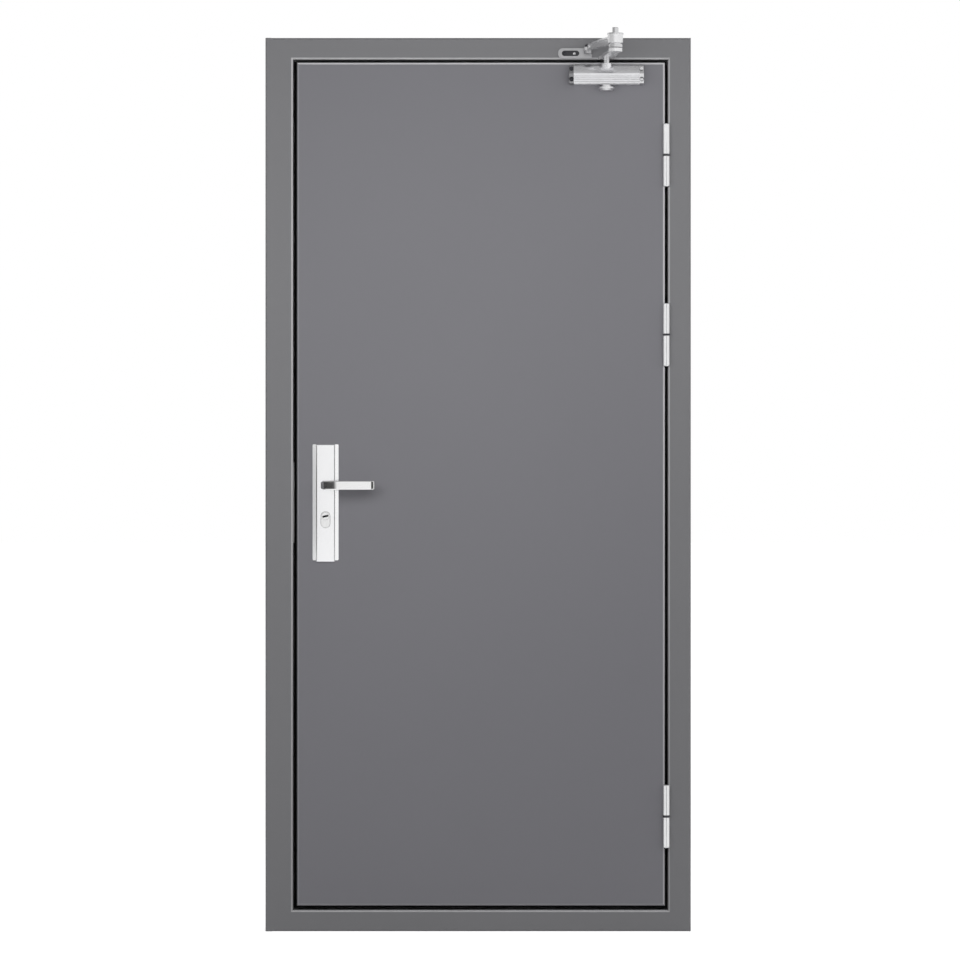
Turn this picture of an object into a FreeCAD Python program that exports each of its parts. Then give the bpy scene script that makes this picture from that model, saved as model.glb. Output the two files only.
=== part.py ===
import FreeCAD, Part
import Sketcher
import math
import os

# Steel utility door in its folded frame, closed: four-sided frame, flush leaf on three
# lift-off hinges, lever handle on a long plate, oval lock cylinder and an arm door closer.
# X runs right as seen from the front, Y runs back from the front face, Z runs up.
# The origin is the middle of the threshold's underside. All lengths are in millimetres.

os.makedirs("parts", exist_ok=True)
doc = FreeCAD.newDocument("utility_door")
sheet = doc.addObject("Spreadsheet::Sheet", "cells")
Vector = FreeCAD.Vector


# Sizes that know the spreadsheet formula they come from

class Size:
    """A length or angle with the spreadsheet formula that gives it."""

    def __init__(self, value, text):
        self.value = value
        self.text = text

    def joined(self, sign, other, value):
        return Size(value, "(%s %s %s)" % (self.text, sign, other.text))

    def __add__(self, other):
        other = as_size(other)
        return self.joined("+", other, self.value + other.value)

    def __sub__(self, other):
        other = as_size(other)
        return self.joined("-", other, self.value - other.value)

    def __mul__(self, other):
        other = as_size(other)
        return self.joined("*", other, self.value * other.value)

    def __truediv__(self, other):
        other = as_size(other)
        return self.joined("/", other, self.value / other.value)

    def __radd__(self, other):
        return as_size(other) + self

    def __rsub__(self, other):
        return as_size(other) - self

    def __rmul__(self, other):
        return as_size(other) * self

    def __neg__(self):
        return as_size(0) - self


def as_size(number):
    return number if isinstance(number, Size) else Size(float(number), "%g" % number)


rows = 0


def cell(name, number, meaning):
    """Write one named value into the spreadsheet and give it back as a Size."""
    global rows
    rows += 1
    sheet.set("A%d" % rows, meaning)
    sheet.set("B%d" % rows, "%g" % number)
    sheet.setAlias("B%d" % rows, name)
    return Size(float(number), "cells." + name)


# Frame
frame_width = cell("frame_width", 1000, "Frame width over the outer edges")
frame_height = cell("frame_height", 2100, "Frame height over the outer edges")
frame_depth = cell("frame_depth", 100, "Frame depth, front face to rear face")
lock_face = cell("lock_face", 65, "Face width of the lock-side jamb")
hinge_face = cell("hinge_face", 54, "Face width of the hinge-side jamb")
head_face = cell("head_face", 51, "Face width of the head")
sill_face = cell("sill_face", 50, "Face width of the threshold")
frame_gauge = cell("frame_gauge", 1.5, "Sheet thickness of the frame")
stop_width = cell("stop_width", 25, "Width of the stop that the leaf closes against")
lip_width = cell("lip_width", 12, "Width of the lips turned in against the wall")
frame_bend = cell("frame_bend", 5, "Outer radius of the frame's bends")
cut_margin = cell("cut_margin", 2, "How far a cut runs past the metal")

# Leaf
leaf_thickness = cell("leaf_thickness", 50, "Leaf thickness")
lock_gap = cell("lock_gap", 9, "Gap between leaf and lock-side jamb")
hinge_gap = cell("hinge_gap", 7, "Gap between leaf and hinge-side jamb")
head_gap = cell("head_gap", 7, "Gap between leaf and head")
sill_gap = cell("sill_gap", 10, "Gap between leaf and threshold")
skin_gauge = cell("skin_gauge", 1, "Sheet thickness of the leaf's skins")
skin_bend = cell("skin_bend", 5, "Outer radius of the skins' bends")
front_skin_depth = cell("front_skin_depth", 30, "Depth of the front skin's turned edge")
seam_gap = cell("seam_gap", 0.5, "Seam between the two skins in the leaf's edge")
core_inset = cell("core_inset", 5.2, "Core set in from the leaf's edges")

# Seal
seal_thickness = cell("seal_thickness", 3, "Thickness of the black seal on the stop")
seal_gap = cell("seal_gap", 0.5, "Gap between the seal and the closed leaf")

# Hinges
hinge_axis_inset = cell("hinge_axis_inset", 4, "Hinge axis in from the jamb's rebate wall")
knuckle_radius = cell("knuckle_radius", 8, "Outer radius of the hinge knuckles")
knuckle_length = cell("knuckle_length", 73.8, "Length of one hinge half")
hinge_split = cell("hinge_split", 3, "Gap between the two knuckles of a hinge")
hinge_from_top = cell("hinge_from_top", 218, "Upper hinge's split below the leaf's top")
hinge_pair = cell("hinge_pair", 422, "Middle hinge below the upper one")
hinge_from_bottom = cell("hinge_from_bottom", 211, "Lower hinge's split above the leaf's bottom")
pin_radius = cell("pin_radius", 5, "Radius of the hinge pin")
pin_clearance = cell("pin_clearance", 0.05, "Radial clearance of the hinge pin")
pin_rise = cell("pin_rise", 58, "Height of the hinge pin above the split")
hinge_plate = cell("hinge_plate", 3, "Thickness of the hinge plates")
hinge_plate_depth = cell("hinge_plate_depth", 35, "Depth of the hinge plates behind the face")
recess_clearance = cell("recess_clearance", 0.3, "Clearance round plates let into the sheet")
knuckle_chamfer = cell("knuckle_chamfer", 1.5, "Chamfer at the knuckles' ends")

# Lock
handle_backset = cell("handle_backset", 67.6, "Handle axis in from the leaf's lock edge")
handle_height = cell("handle_height", 1048.4, "Height of the handle's axis")
faceplate_length = cell("faceplate_length", 235, "Length of the lock faceplate")
faceplate_width = cell("faceplate_width", 24, "Width of the lock faceplate")
faceplate_thickness = cell("faceplate_thickness", 3, "Thickness of the lock faceplate")
faceplate_drop = cell("faceplate_drop", 40, "Faceplate's middle below the handle's axis")
bolt_width = cell("bolt_width", 12, "Thickness of the latch bolt and the dead bolt")
latch_height = cell("latch_height", 17, "Height of the latch bolt")
dead_bolt_height = cell("dead_bolt_height", 32, "Height of the dead bolt")
bolt_length = cell("bolt_length", 34, "Length of both bolts inside the leaf")
bolt_clearance = cell("bolt_clearance", 0.3, "Clearance round both bolts")
strike_length = cell("strike_length", 190, "Length of the strike plate")
strike_thickness = cell("strike_thickness", 1.8, "Thickness of the strike plate")
strike_margin = cell("strike_margin", 3, "Strike openings larger than the bolts all round")

# Handle
plate_width = cell("plate_width", 61, "Width of the handle plate")
plate_above = cell("plate_above", 96.3, "Handle plate above the handle's axis")
plate_below = cell("plate_below", 176.2, "Handle plate below the handle's axis")
plate_thickness = cell("plate_thickness", 3, "Thickness of the handle plate's side bands")
panel_width = cell("panel_width", 44.4, "Width of the plate's raised panel")
panel_overrun = cell("panel_overrun", 3.4, "Raised panel below the side bands")
panel_thickness = cell("panel_thickness", 8, "Height of the raised panel off the leaf")
panel_round = cell("panel_round", 2.5, "Radius of the raised panel's edges")
neck_radius = cell("neck_radius", 10.5, "Radius of the lever's neck")
neck_clearance = cell("neck_clearance", 0.1, "Radial clearance of the lever's neck in the plate")
neck_seat = cell("neck_seat", 3, "Lever's neck starts this far off the leaf")
neck_length = cell("neck_length", 19, "Length of the lever's round neck")
lever_reach = cell("lever_reach", 118.7, "Lever from its axis to its tip")
lever_rise = cell("lever_rise", 64, "Front of the grip off the leaf")
lever_bend = cell("lever_bend", 40, "Outer radius of the bend from neck to grip")
lever_crook = cell("lever_crook", 18, "Inner radius of the bend from neck to grip")
grip_thickness = cell("grip_thickness", 11, "Thickness of the grip and the tip")
tip_bend = cell("tip_bend", 13, "Outer radius of the turned-back tip")
tip_return = cell("tip_return", 30, "How far the tip returns towards the leaf")
spindle_side = cell("spindle_side", 8, "Side of the square spindle")
spindle_clearance = cell("spindle_clearance", 0.1, "Clearance round the square spindle")
spindle_depth = cell("spindle_depth", 16, "Spindle's depth inside each lever neck")
spindle_hole = cell("spindle_hole", 10, "Radius of the spindle's hole in the leaf")

# Lock cylinder
cylinder_drop = cell("cylinder_drop", 72.6, "Key plug below the handle's axis")
cylinder_radius = cell("cylinder_radius", 11, "End radius of the oval cylinder")
cylinder_lobe = cell("cylinder_lobe", 16.5, "Distance between the oval's two centres")
cylinder_proud = cell("cylinder_proud", 3, "Cylinder proud of the raised panel")
cylinder_clearance = cell("cylinder_clearance", 0.3, "Clearance round the cylinder")
cylinder_chamfer = cell("cylinder_chamfer", 0.6, "Chamfer round the cylinder's ends")
plug_radius = cell("plug_radius", 8.5, "Radius of the key plug")
plug_depth = cell("plug_depth", 14, "Depth of the key plug")
plug_clearance = cell("plug_clearance", 0.1, "Radial clearance of the key plug")
keyway_length = cell("keyway_length", 14, "Length of the keyway")
keyway_width = cell("keyway_width", 4.2, "Width of the keyway")
keyway_depth = cell("keyway_depth", 10, "Depth of the keyway")
keyway_tilt = cell("keyway_tilt", 13, "Tilt of the keyway from level, in degrees")

# Closer body
closer_inset = cell("closer_inset", 141, "Closer spindle in from the hinge axis")
closer_offset = cell("closer_offset", 22.5, "Closer spindle off the leaf's face")
closer_below_top = cell("closer_below_top", 55, "Closer's underside below the leaf's top")
closer_length = cell("closer_length", 154.5, "Length of the closer's body")
closer_depth = cell("closer_depth", 40, "Closer body off the leaf's face")
closer_band = cell("closer_band", 26, "Height of the closer's upright front")
closer_height = cell("closer_height", 49, "Height of the closer's body")
closer_top_depth = cell("closer_top_depth", 18, "Depth of the closer's flat top")
closer_shoulder = cell("closer_shoulder", 30, "Radius of the closer's rounded shoulder")
closer_round = cell("closer_round", 3, "Radius of the closer's lower front edge")
flute_first = cell("flute_first", 6.5, "Lowest flute of the upright front above its lower edge")
flute_spacing = cell("flute_spacing", 4.4, "Distance between the flutes")
flute_count = cell("flute_count", 4, "Number of flutes")
flute_width = cell("flute_width", 1.4, "Width of one flute")
flute_depth = cell("flute_depth", 0.5, "Depth of one flute")
closer_cap = cell("closer_cap", 10, "Thickness of the closer's end caps")
closer_cap_inset = cell("closer_cap_inset", 3, "End caps set in from the body's outline")
closer_cap_back = cell("closer_cap_back", 2.5, "End caps off the leaf's face")
scallop_radius = cell("scallop_radius", 5.5, "Radius of the screw scallops in the end caps")
scallop_low = cell("scallop_low", 12.6, "Lower scallop above the body's underside")
scallop_high = cell("scallop_high", 38.4, "Upper scallop above the body's underside")
scallop_floor = cell("scallop_floor", 12, "Scallops end this far off the leaf")
boss_radius = cell("boss_radius", 13, "Radius of the closer's spindle boss")
boss_root = cell("boss_root", 13, "Root of the spindle boss above the body's underside")
boss_top = cell("boss_top", 50, "Top of the spindle boss above the body's underside")
foot_radius = cell("foot_radius", 18.5, "Radius of the closer's lower pinion cap")
foot_height = cell("foot_height", 8, "Height of the lower pinion cap")
foot_neck_radius = cell("foot_neck_radius", 11, "Radius of the neck above the lower cap")
foot_neck = cell("foot_neck", 5, "Height of the neck above the lower cap")
foot_chamfer = cell("foot_chamfer", 5, "Chamfer round the lower cap's underside")

# Closer arms
spindle_radius = cell("spindle_radius", 7.5, "Radius of the closer's spindle")
spindle_fit = cell("spindle_fit", 0.05, "Radial clearance of the closer's spindle")
spindle_sink = cell("spindle_sink", 25, "Closer spindle's length inside the body")
arm_lift = cell("arm_lift", 5, "Main arm above the leaf's top")
arm_thickness = cell("arm_thickness", 8, "Thickness of the main arm")
arm_root_width = cell("arm_root_width", 31, "Width of the main arm at the spindle")
arm_end_width = cell("arm_end_width", 23, "Width of the main arm at the elbow")
arm_eye = cell("arm_eye", 17.5, "Radius of the main arm's eye at the spindle")
elbow_eye = cell("elbow_eye", 16.5, "Radius of the main arm's eye at the elbow")
elbow_out = cell("elbow_out", 180, "Elbow out from the closer's spindle")
elbow_side = cell("elbow_side", 14.9, "Elbow sideways from the closer's spindle")
arm_screw_radius = cell("arm_screw_radius", 9, "Radius of the screw head on the main arm")
arm_screw_height = cell("arm_screw_height", 4, "Height of the screw head on the main arm")
screw_chamfer = cell("screw_chamfer", 1, "Chamfer round the arm's screw head and the elbow's nut")
elbow_gap = cell("elbow_gap", 2, "Open gap between the two arms at the elbow")
ring_radius = cell("ring_radius", 17, "Radius of the ring under the elbow hub")
ring_height = cell("ring_height", 6.5, "Height of the ring under the elbow hub")
groove_radius = cell("groove_radius", 13, "Radius of the groove under the elbow hub")
groove_height = cell("groove_height", 3.5, "Height of the groove under the elbow hub")
hub_radius = cell("hub_radius", 17.8, "Radius of the elbow hub")
hub_height = cell("hub_height", 20, "Height of the elbow hub")
washer_radius = cell("washer_radius", 19, "Radius of the washer on the elbow hub")
washer_height = cell("washer_height", 3, "Height of the washer on the elbow hub")
nut_radius = cell("nut_radius", 7.5, "Radius of the nut on the elbow hub")
nut_height = cell("nut_height", 13, "Height of the nut on the elbow hub")
forearm_lift = cell("forearm_lift", 1, "Forearm's underside above the hub's underside")
forearm_height = cell("forearm_height", 18, "Height of the forearm at the hub")
forearm_end_height = cell("forearm_end_height", 15, "Height of the forearm at the shoe")
forearm_width = cell("forearm_width", 12, "Width of the forearm")
forearm_start = cell("forearm_start", 13, "Forearm's full height starts this far from the shoe's pivot")
rib_height = cell("rib_height", 4.5, "Height of the ribs along the forearm's edges")
rib_depth = cell("rib_depth", 2.5, "Depth of the hollow between the forearm's ribs")
rib_end = cell("rib_end", 6, "Solid metal at each end of the forearm's hollows")

# Shoe on the head
shoe_left = cell("shoe_left", 254, "Shoe's left end in from the hinge axis")
shoe_length = cell("shoe_length", 79, "Length of the shoe")
shoe_height = cell("shoe_height", 24, "Height of the shoe")
shoe_thickness = cell("shoe_thickness", 6, "Thickness of the shoe's plate")
shoe_round = cell("shoe_round", 11, "Radius of the shoe's corners at its free end")
shoe_corner = cell("shoe_corner", 4, "Radius of the shoe's corners at its ear end")
shoe_recess_start = cell("shoe_recess_start", 15, "Hollow's first round centre from the shoe's free end")
shoe_recess_run = cell("shoe_recess_run", 28, "Distance between the hollow's round centres")
shoe_recess_radius = cell("shoe_recess_radius", 6.5, "End radius of the hollow in the shoe's face")
shoe_recess_depth = cell("shoe_recess_depth", 3, "Depth of the hollow in the shoe's face")
shoe_above_edge = cell("shoe_above_edge", 2, "Shoe above the head's lower edge")
pivot_inset = cell("pivot_inset", 184, "Shoe pivot in from the hinge axis")
pivot_offset = cell("pivot_offset", 20, "Shoe pivot off the head's face")
ear_radius = cell("ear_radius", 9, "Radius of the shoe's ear")
ear_height = cell("ear_height", 7, "Height of the shoe's ear")
pivot_radius = cell("pivot_radius", 4.5, "Radius of the shoe's pivot bolt")
pivot_fit = cell("pivot_fit", 0.05, "Radial clearance of the shoe's pivot bolt")
eye_radius = cell("eye_radius", 10, "Radius of the forearm's eye on the shoe")
eye_height = cell("eye_height", 8, "Height of the forearm's eye on the shoe")
eye_gap = cell("eye_gap", 0.3, "Gap above and below the forearm's eye")
pivot_head_radius = cell("pivot_head_radius", 7, "Radius of the pivot bolt's head")
pivot_head = cell("pivot_head", 6, "Height of the pivot bolt's head")

# Wall fixings
fixing_radius = cell("fixing_radius", 5, "Radius of the wall fixing holes")
fixing_count = cell("fixing_count", 4, "Wall fixing holes in each jamb")
fixing_first = cell("fixing_first", 300, "Lowest wall fixing above the threshold's underside")
fixing_spacing = cell("fixing_spacing", 500, "Distance between wall fixings")

doc.recompute()


# Bodies, sketches and features

def new_body(label, x, y, z, axis=(0, 0, 1), angle=0):
    """A body named after its node, placed by spreadsheet formulas and one turn about an axis."""
    body = doc.addObject("PartDesign::Body", label)
    body.Label = label
    turn = angle.value if isinstance(angle, Size) else angle
    place = [as_size(x), as_size(y), as_size(z)]
    base = Vector(*[p.value for p in place])
    body.Placement = FreeCAD.Placement(base, FreeCAD.Rotation(Vector(*axis), turn))
    for name, p in zip("xyz", place):
        body.setExpression(".Placement.Base." + name, p.text)
    return body


def sketch_on(body, name, plane, offset=0):
    """A sketch on one of the body's own origin planes, moved along that plane's normal."""
    sketch = body.newObject("Sketcher::SketchObject", name)
    support = [f for f in body.Origin.OriginFeatures if f.Role == plane]
    sketch.AttachmentSupport = [(support[0], "")]
    sketch.MapMode = "FlatFace"
    offset = as_size(offset)
    sketch.AttachmentOffset = FreeCAD.Placement(Vector(0, 0, offset.value), FreeCAD.Rotation())
    sketch.setExpression(".AttachmentOffset.Base.z", offset.text)
    return sketch


def bind(sketch, constraint, size):
    index = sketch.addConstraint(constraint)
    sketch.setExpression("Constraints[%d]" % index, size.text)


def fix_point(sketch, geometry, point, x, y):
    """Hold one point of a sketch by its two distances from the sketch's origin."""
    for kind, axis, size in (("DistanceX", -2, as_size(x)), ("DistanceY", -1, as_size(y))):
        if size.text == "0":
            sketch.addConstraint(Sketcher.Constraint("PointOnObject", geometry, point, axis))
        else:
            bind(sketch, Sketcher.Constraint(kind, -1, 1, geometry, point, size.value), size)


def outline(sketch, points):
    """A closed outline of straight edges through points given as formulas."""
    corners = [(as_size(x), as_size(y)) for x, y in points]
    first = sketch.GeometryCount
    count = len(corners)
    for i in range(count):
        a = corners[i]
        b = corners[(i + 1) % count]
        start = Vector(a[0].value, a[1].value, 0)
        end = Vector(b[0].value, b[1].value, 0)
        sketch.addGeometry(Part.LineSegment(start, end), False)
    for i in range(count):
        following = first + (i + 1) % count
        sketch.addConstraint(Sketcher.Constraint("Coincident", first + i, 2, following, 1))
    for i in range(count):
        for axis, kind, level, zero in ((0, "DistanceX", "Vertical", -2),
                                        (1, "DistanceY", "Horizontal", -1)):
            size = corners[i][axis]
            if i and size.text == corners[i - 1][axis].text:
                sketch.addConstraint(Sketcher.Constraint(level, first + i - 1))
            elif i == count - 1 and size.text == corners[0][axis].text:
                sketch.addConstraint(Sketcher.Constraint(level, first + i))
            elif size.text == "0":
                sketch.addConstraint(Sketcher.Constraint("PointOnObject", first + i, 1, zero))
            else:
                rule = Sketcher.Constraint(kind, -1, 1, first + i, 1, size.value)
                bind(sketch, rule, size)


def rectangle(sketch, left, right, bottom, top):
    outline(sketch, [(left, bottom), (right, bottom), (right, top), (left, top)])


def rounded_outline(sketch, corners):
    """A closed outline of level and upright edges; a corner with a radius is rounded."""
    points = [Vector(as_size(x).value, as_size(y).value, 0) for x, y, radius in corners]
    count = len(points)
    runs = [(points[(i + 1) % count] - points[i]).normalize() for i in range(count)]
    reach = [0 if radius is None else radius.value for x, y, radius in corners]
    lines = []
    for i in range(count):
        after = (i + 1) % count
        line = Part.LineSegment(points[i] + runs[i] * reach[i],
                                points[after] - runs[i] * reach[after])
        lines.append(sketch.addGeometry(line, False))
    for i in range(count):
        before = lines[i - 1]
        if corners[i][2] is None:
            sketch.addConstraint(Sketcher.Constraint("Coincident", before, 2, lines[i], 1))
            continue
        centre = points[i] + (runs[i] - runs[i - 1]) * reach[i]
        left_turn = runs[i - 1].cross(runs[i]).z > 0
        opening = -runs[i] if left_turn else runs[i - 1]
        angle = math.atan2(opening.y, opening.x)
        arc = sketch.addGeometry(Part.ArcOfCircle(
            Part.Circle(centre, Vector(0, 0, 1), reach[i]), angle, angle + math.pi / 2), False)
        first, last = (1, 2) if left_turn else (2, 1)
        sketch.addConstraint(Sketcher.Constraint("Tangent", before, 2, arc, first))
        sketch.addConstraint(Sketcher.Constraint("Tangent", arc, last, lines[i], 1))
        bind(sketch, Sketcher.Constraint("Radius", arc, reach[i]), corners[i][2])
    for i in range(count):
        upright = abs(runs[i].x) < 0.5
        kind = "DistanceX" if upright else "DistanceY"
        size = as_size(corners[i][0] if upright else corners[i][1])
        sketch.addConstraint(Sketcher.Constraint("Vertical" if upright else "Horizontal", lines[i]))
        bind(sketch, Sketcher.Constraint(kind, -1, 1, lines[i], 1, size.value), size)


def circle(sketch, x, y, radius):
    centre = Vector(as_size(x).value, as_size(y).value, 0)
    radius = as_size(radius)
    index = sketch.addGeometry(Part.Circle(centre, Vector(0, 0, 1), radius.value), False)
    fix_point(sketch, index, 3, x, y)
    bind(sketch, Sketcher.Constraint("Radius", index, radius.value), radius)


def slot(sketch, first, second, radius):
    """A round-ended slot; its first centre is right above or right beside its second."""
    corners = [Vector(as_size(x).value, as_size(y).value, 0) for x, y in (first, second)]
    run = corners[0] - corners[1]
    run.normalize()
    side = Vector(run.y, -run.x, 0) * radius.value
    normal = Vector(0, 0, 1)
    turn = math.atan2(side.y, side.x)
    half = math.pi
    cap = sketch.addGeometry(Part.ArcOfCircle(
        Part.Circle(corners[0], normal, radius.value), turn, turn + half), False)
    left = sketch.addGeometry(Part.LineSegment(corners[0] - side, corners[1] - side), False)
    cup = sketch.addGeometry(Part.ArcOfCircle(
        Part.Circle(corners[1], normal, radius.value), turn + half, turn + 2 * half), False)
    right = sketch.addGeometry(Part.LineSegment(corners[1] + side, corners[0] + side), False)
    for one, other in ((cap, left), (left, cup), (cup, right), (right, cap)):
        sketch.addConstraint(Sketcher.Constraint("Tangent", one, 2, other, 1))
    fix_point(sketch, cap, 3, *first)
    fix_point(sketch, cup, 3, *second)
    sketch.addConstraint(Sketcher.Constraint("Equal", cap, cup))
    bind(sketch, Sketcher.Constraint("Radius", cap, radius.value), radius)


def bow(sketch, first, last, radius):
    """A straight edge between two points, closed by an arc that bulges to the edge's left."""
    a, b = [Vector(as_size(x).value, as_size(y).value, 0) for x, y in (first, last)]
    half = (b - a) / 2
    inward = Vector(half.y, -half.x, 0).normalize()
    centre = a + half + inward * math.sqrt(radius.value ** 2 - half.Length ** 2)
    chord = sketch.addGeometry(Part.LineSegment(a, b), False)
    start = b - centre
    end = a - centre
    arc = sketch.addGeometry(Part.ArcOfCircle(
        Part.Circle(centre, Vector(0, 0, 1), radius.value),
        math.atan2(start.y, start.x), math.atan2(end.y, end.x)), False)
    sketch.addConstraint(Sketcher.Constraint("Coincident", chord, 2, arc, 1))
    sketch.addConstraint(Sketcher.Constraint("Coincident", arc, 2, chord, 1))
    fix_point(sketch, chord, 1, *first)
    fix_point(sketch, chord, 2, *last)
    bind(sketch, Sketcher.Constraint("Radius", arc, radius.value), radius)


def cylinder_slot(sketch, x, top, radius):
    """The lock cylinder's upright oval, with the key plug's centre at (x, top)."""
    slot(sketch, (x, top), (x, top - cylinder_lobe), radius)


def grow(body, kind, sketch, length, way="up"):
    """A pad or pocket of the sketch, up or down its normal or even on both sides."""
    feature = body.newObject("PartDesign::" + kind, sketch.Name + "_" + kind.lower())
    feature.Profile = sketch
    if length is None:
        feature.Type = "ThroughAll"
    else:
        length = as_size(length)
        feature.Length = length.value
        feature.setExpression("Length", length.text)
    if way == "both":
        feature.SideType = "Symmetric"
    else:
        feature.Reversed = (way == "up") if kind == "Pocket" else (way == "down")
    body.Tip = feature
    return feature


def pad(body, sketch, length, way="up"):
    return grow(body, "Pad", sketch, length, way)


def pocket(body, sketch, length=None, way="both"):
    return grow(body, "Pocket", sketch, length, way)


def ends_of(edge):
    return [v.Point for v in edge.Vertexes]


def near(one, other):
    return abs(one - other) < 0.01


def along(direction, places):
    """Test for straight edges along x, y or z that stand at one of the places in the other two."""
    others = [i for i in range(3) if i != direction]
    spots = [(as_size(a).value, as_size(b).value) for a, b in places]

    def test(edge):
        ends = ends_of(edge)
        if len(ends) < 2:
            return False
        return any(all(near(p[others[0]], a) and near(p[others[1]], b) for p in ends)
                   for a, b in spots)
    return test


def at_level(direction, levels):
    """Test for edges that lie wholly in one of the given planes."""
    planes = [as_size(level).value for level in levels]

    def test(edge):
        box = edge.BoundBox
        low = (box.XMin, box.YMin, box.ZMin)[direction]
        high = (box.XMax, box.YMax, box.ZMax)[direction]
        return any(near(low, p) and near(high, p) for p in planes)
    return test


def dress(body, kind, name, size, test):
    """A fillet or chamfer on the edges of the body's latest shape that pass the test."""
    doc.recompute()
    base = body.Tip
    names = ["Edge%d" % (i + 1) for i, edge in enumerate(base.Shape.Edges) if test(edge)]
    feature = body.newObject("PartDesign::" + kind, name)
    feature.Base = (base, names)
    field = "Radius" if kind == "Fillet" else "Size"
    size = as_size(size)
    setattr(feature, field, size.value)
    feature.setExpression(field, size.text)
    body.Tip = feature
    return feature


# Places that several pieces share

half_width = frame_width / 2
half_depth = frame_depth / 2
rebate = leaf_thickness + seal_gap + seal_thickness
leaf_width = frame_width - lock_face - hinge_face - lock_gap - hinge_gap
leaf_height = frame_height - head_face - sill_face - head_gap - sill_gap
leaf_left = lock_face + lock_gap - half_width
leaf_front = -half_depth
leaf_bottom = sill_face + sill_gap
leaf_top = leaf_bottom + leaf_height
hinge_x = half_width - hinge_face - hinge_axis_inset
hinge_y = leaf_front - knuckle_radius
handle_x = leaf_left + handle_backset
hinge_heights = (leaf_bottom + hinge_from_bottom, leaf_top - hinge_from_top - hinge_pair,
                 leaf_top - hinge_from_top)
hinge_names = ("lower", "middle", "upper")
bolt_middle = leaf_thickness / 2


# Frame: each side is one folded section, mitred at the corners
# Along the section, u runs out from the soffit and v runs back from the face.

def mitre(body, length, start_face, end_face):
    """Cut both ends of a side back at 45 degrees from the frame's outer corners."""
    mitres = sketch_on(body, body.Label + "_mitres", "XZ_Plane")
    margin = cut_margin
    leg = stop_width + start_face + margin
    outline(mitres, [(-margin, -margin), (leg, -margin), (-margin, leg)])
    leg = stop_width + end_face + margin
    outline(mitres, [(-margin, length + margin), (-margin, length - leg), (leg, length + margin)])
    pocket(body, mitres)


def frame_member(label, face, length, start_face, end_face, x, y, z, axis, angle, closed):
    body = new_body(label, x, y, z, axis, angle)
    wide = stop_width + face
    gauge = frame_gauge
    section = sketch_on(body, label + "_section", "XY_Plane")
    outside = [(wide, 0), (stop_width, 0), (stop_width, rebate), (0, rebate), (0, frame_depth),
               (wide, frame_depth)]
    inside = [(wide - gauge, frame_depth - gauge), (gauge, frame_depth - gauge),
              (gauge, rebate + gauge), (stop_width + gauge, rebate + gauge),
              (stop_width + gauge, gauge), (wide - gauge, gauge)]
    if closed:
        outline(section, outside)
        outline(section, inside)
    else:
        rear_lip = [(wide, frame_depth - lip_width), (wide - gauge, frame_depth - lip_width)]
        front_lip = [(wide - gauge, lip_width), (wide, lip_width)]
        outline(section, outside + rear_lip + inside + front_lip)
    pad(body, section, length)
    convex = outside[:2] + outside[3:] + [inside[3]]
    concave = inside[:3] + inside[4:] + [outside[2]]
    dress(body, "Fillet", label + "_bends", frame_bend, along(2, convex))
    dress(body, "Fillet", label + "_inner_bends", frame_bend - gauge, along(2, concave))
    mitre(body, length, start_face, end_face)
    return body


def seal_member(label, length, start_face, end_face, x, y, z, axis, angle):
    body = new_body(label, x, y, z, axis, angle)
    section = sketch_on(body, label + "_section", "XY_Plane")
    rectangle(section, frame_bend, stop_width - frame_bend + frame_gauge,
              rebate - seal_thickness, rebate)
    pad(body, section, length)
    mitre(body, length, start_face, end_face)


lock_soffit = lock_face + stop_width - half_width
hinge_soffit = half_width - hinge_face - stop_width
head_soffit = frame_height - head_face - stop_width
sill_soffit = sill_face + stop_width
sideways = (0, 1, 0)

lock_place = (lock_soffit, leaf_front, frame_height, sideways, 180)
hinge_place = (hinge_soffit, leaf_front, 0, sideways, 0)
head_place = (half_width, leaf_front, head_soffit, sideways, -90)
sill_place = (-half_width, leaf_front, sill_soffit, sideways, 90)

lock_jamb = frame_member("frame_lock_jamb", lock_face, frame_height, head_face, sill_face,
                         *lock_place, False)
hinge_jamb = frame_member("frame_hinge_jamb", hinge_face, frame_height, sill_face, head_face,
                          *hinge_place, False)
frame_member("frame_head", head_face, frame_width, hinge_face, lock_face, *head_place, False)
frame_member("frame_threshold", sill_face, frame_width, lock_face, hinge_face, *sill_place, True)
seal_member("seal_lock", frame_height, head_face, sill_face, *lock_place)
seal_member("seal_hinge", frame_height, sill_face, head_face, *hinge_place)
seal_member("seal_head", frame_width, hinge_face, lock_face, *head_place)
seal_member("seal_threshold", frame_width, lock_face, hinge_face, *sill_place)

# Wall fixing holes through each jamb's soffit, behind the stop
fixing_v = (rebate + frame_depth) / 2
for body, first in ((lock_jamb, frame_height - fixing_first - fixing_spacing * (fixing_count - 1)),
                    (hinge_jamb, fixing_first)):
    hole = sketch_on(body, body.Label + "_fixing", "YZ_Plane")
    circle(hole, fixing_v, first, fixing_radius)
    cut = pocket(body, hole)
    row = body.newObject("PartDesign::LinearPattern", body.Label + "_fixings")
    row.Originals = [cut]
    row.Direction = (hole, ["V_Axis"])
    row.Length = fixing_spacing.value * (fixing_count.value - 1)
    row.setExpression("Length", (fixing_spacing * (fixing_count - 1)).text)
    row.Occurrences = int(fixing_count.value)
    row.setExpression("Occurrences", fixing_count.text)
    body.Tip = row

# Recesses for the three frame-side hinge plates, open at the front
recess = sketch_on(hinge_jamb, "jamb_hinge_recess", "YZ_Plane", stop_width - cut_margin)
for height in hinge_heights:
    rectangle(recess, -cut_margin, hinge_plate_depth + recess_clearance,
              height - knuckle_length - recess_clearance, height)
pocket(hinge_jamb, recess, cut_margin + hinge_plate + recess_clearance, "up")

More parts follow.
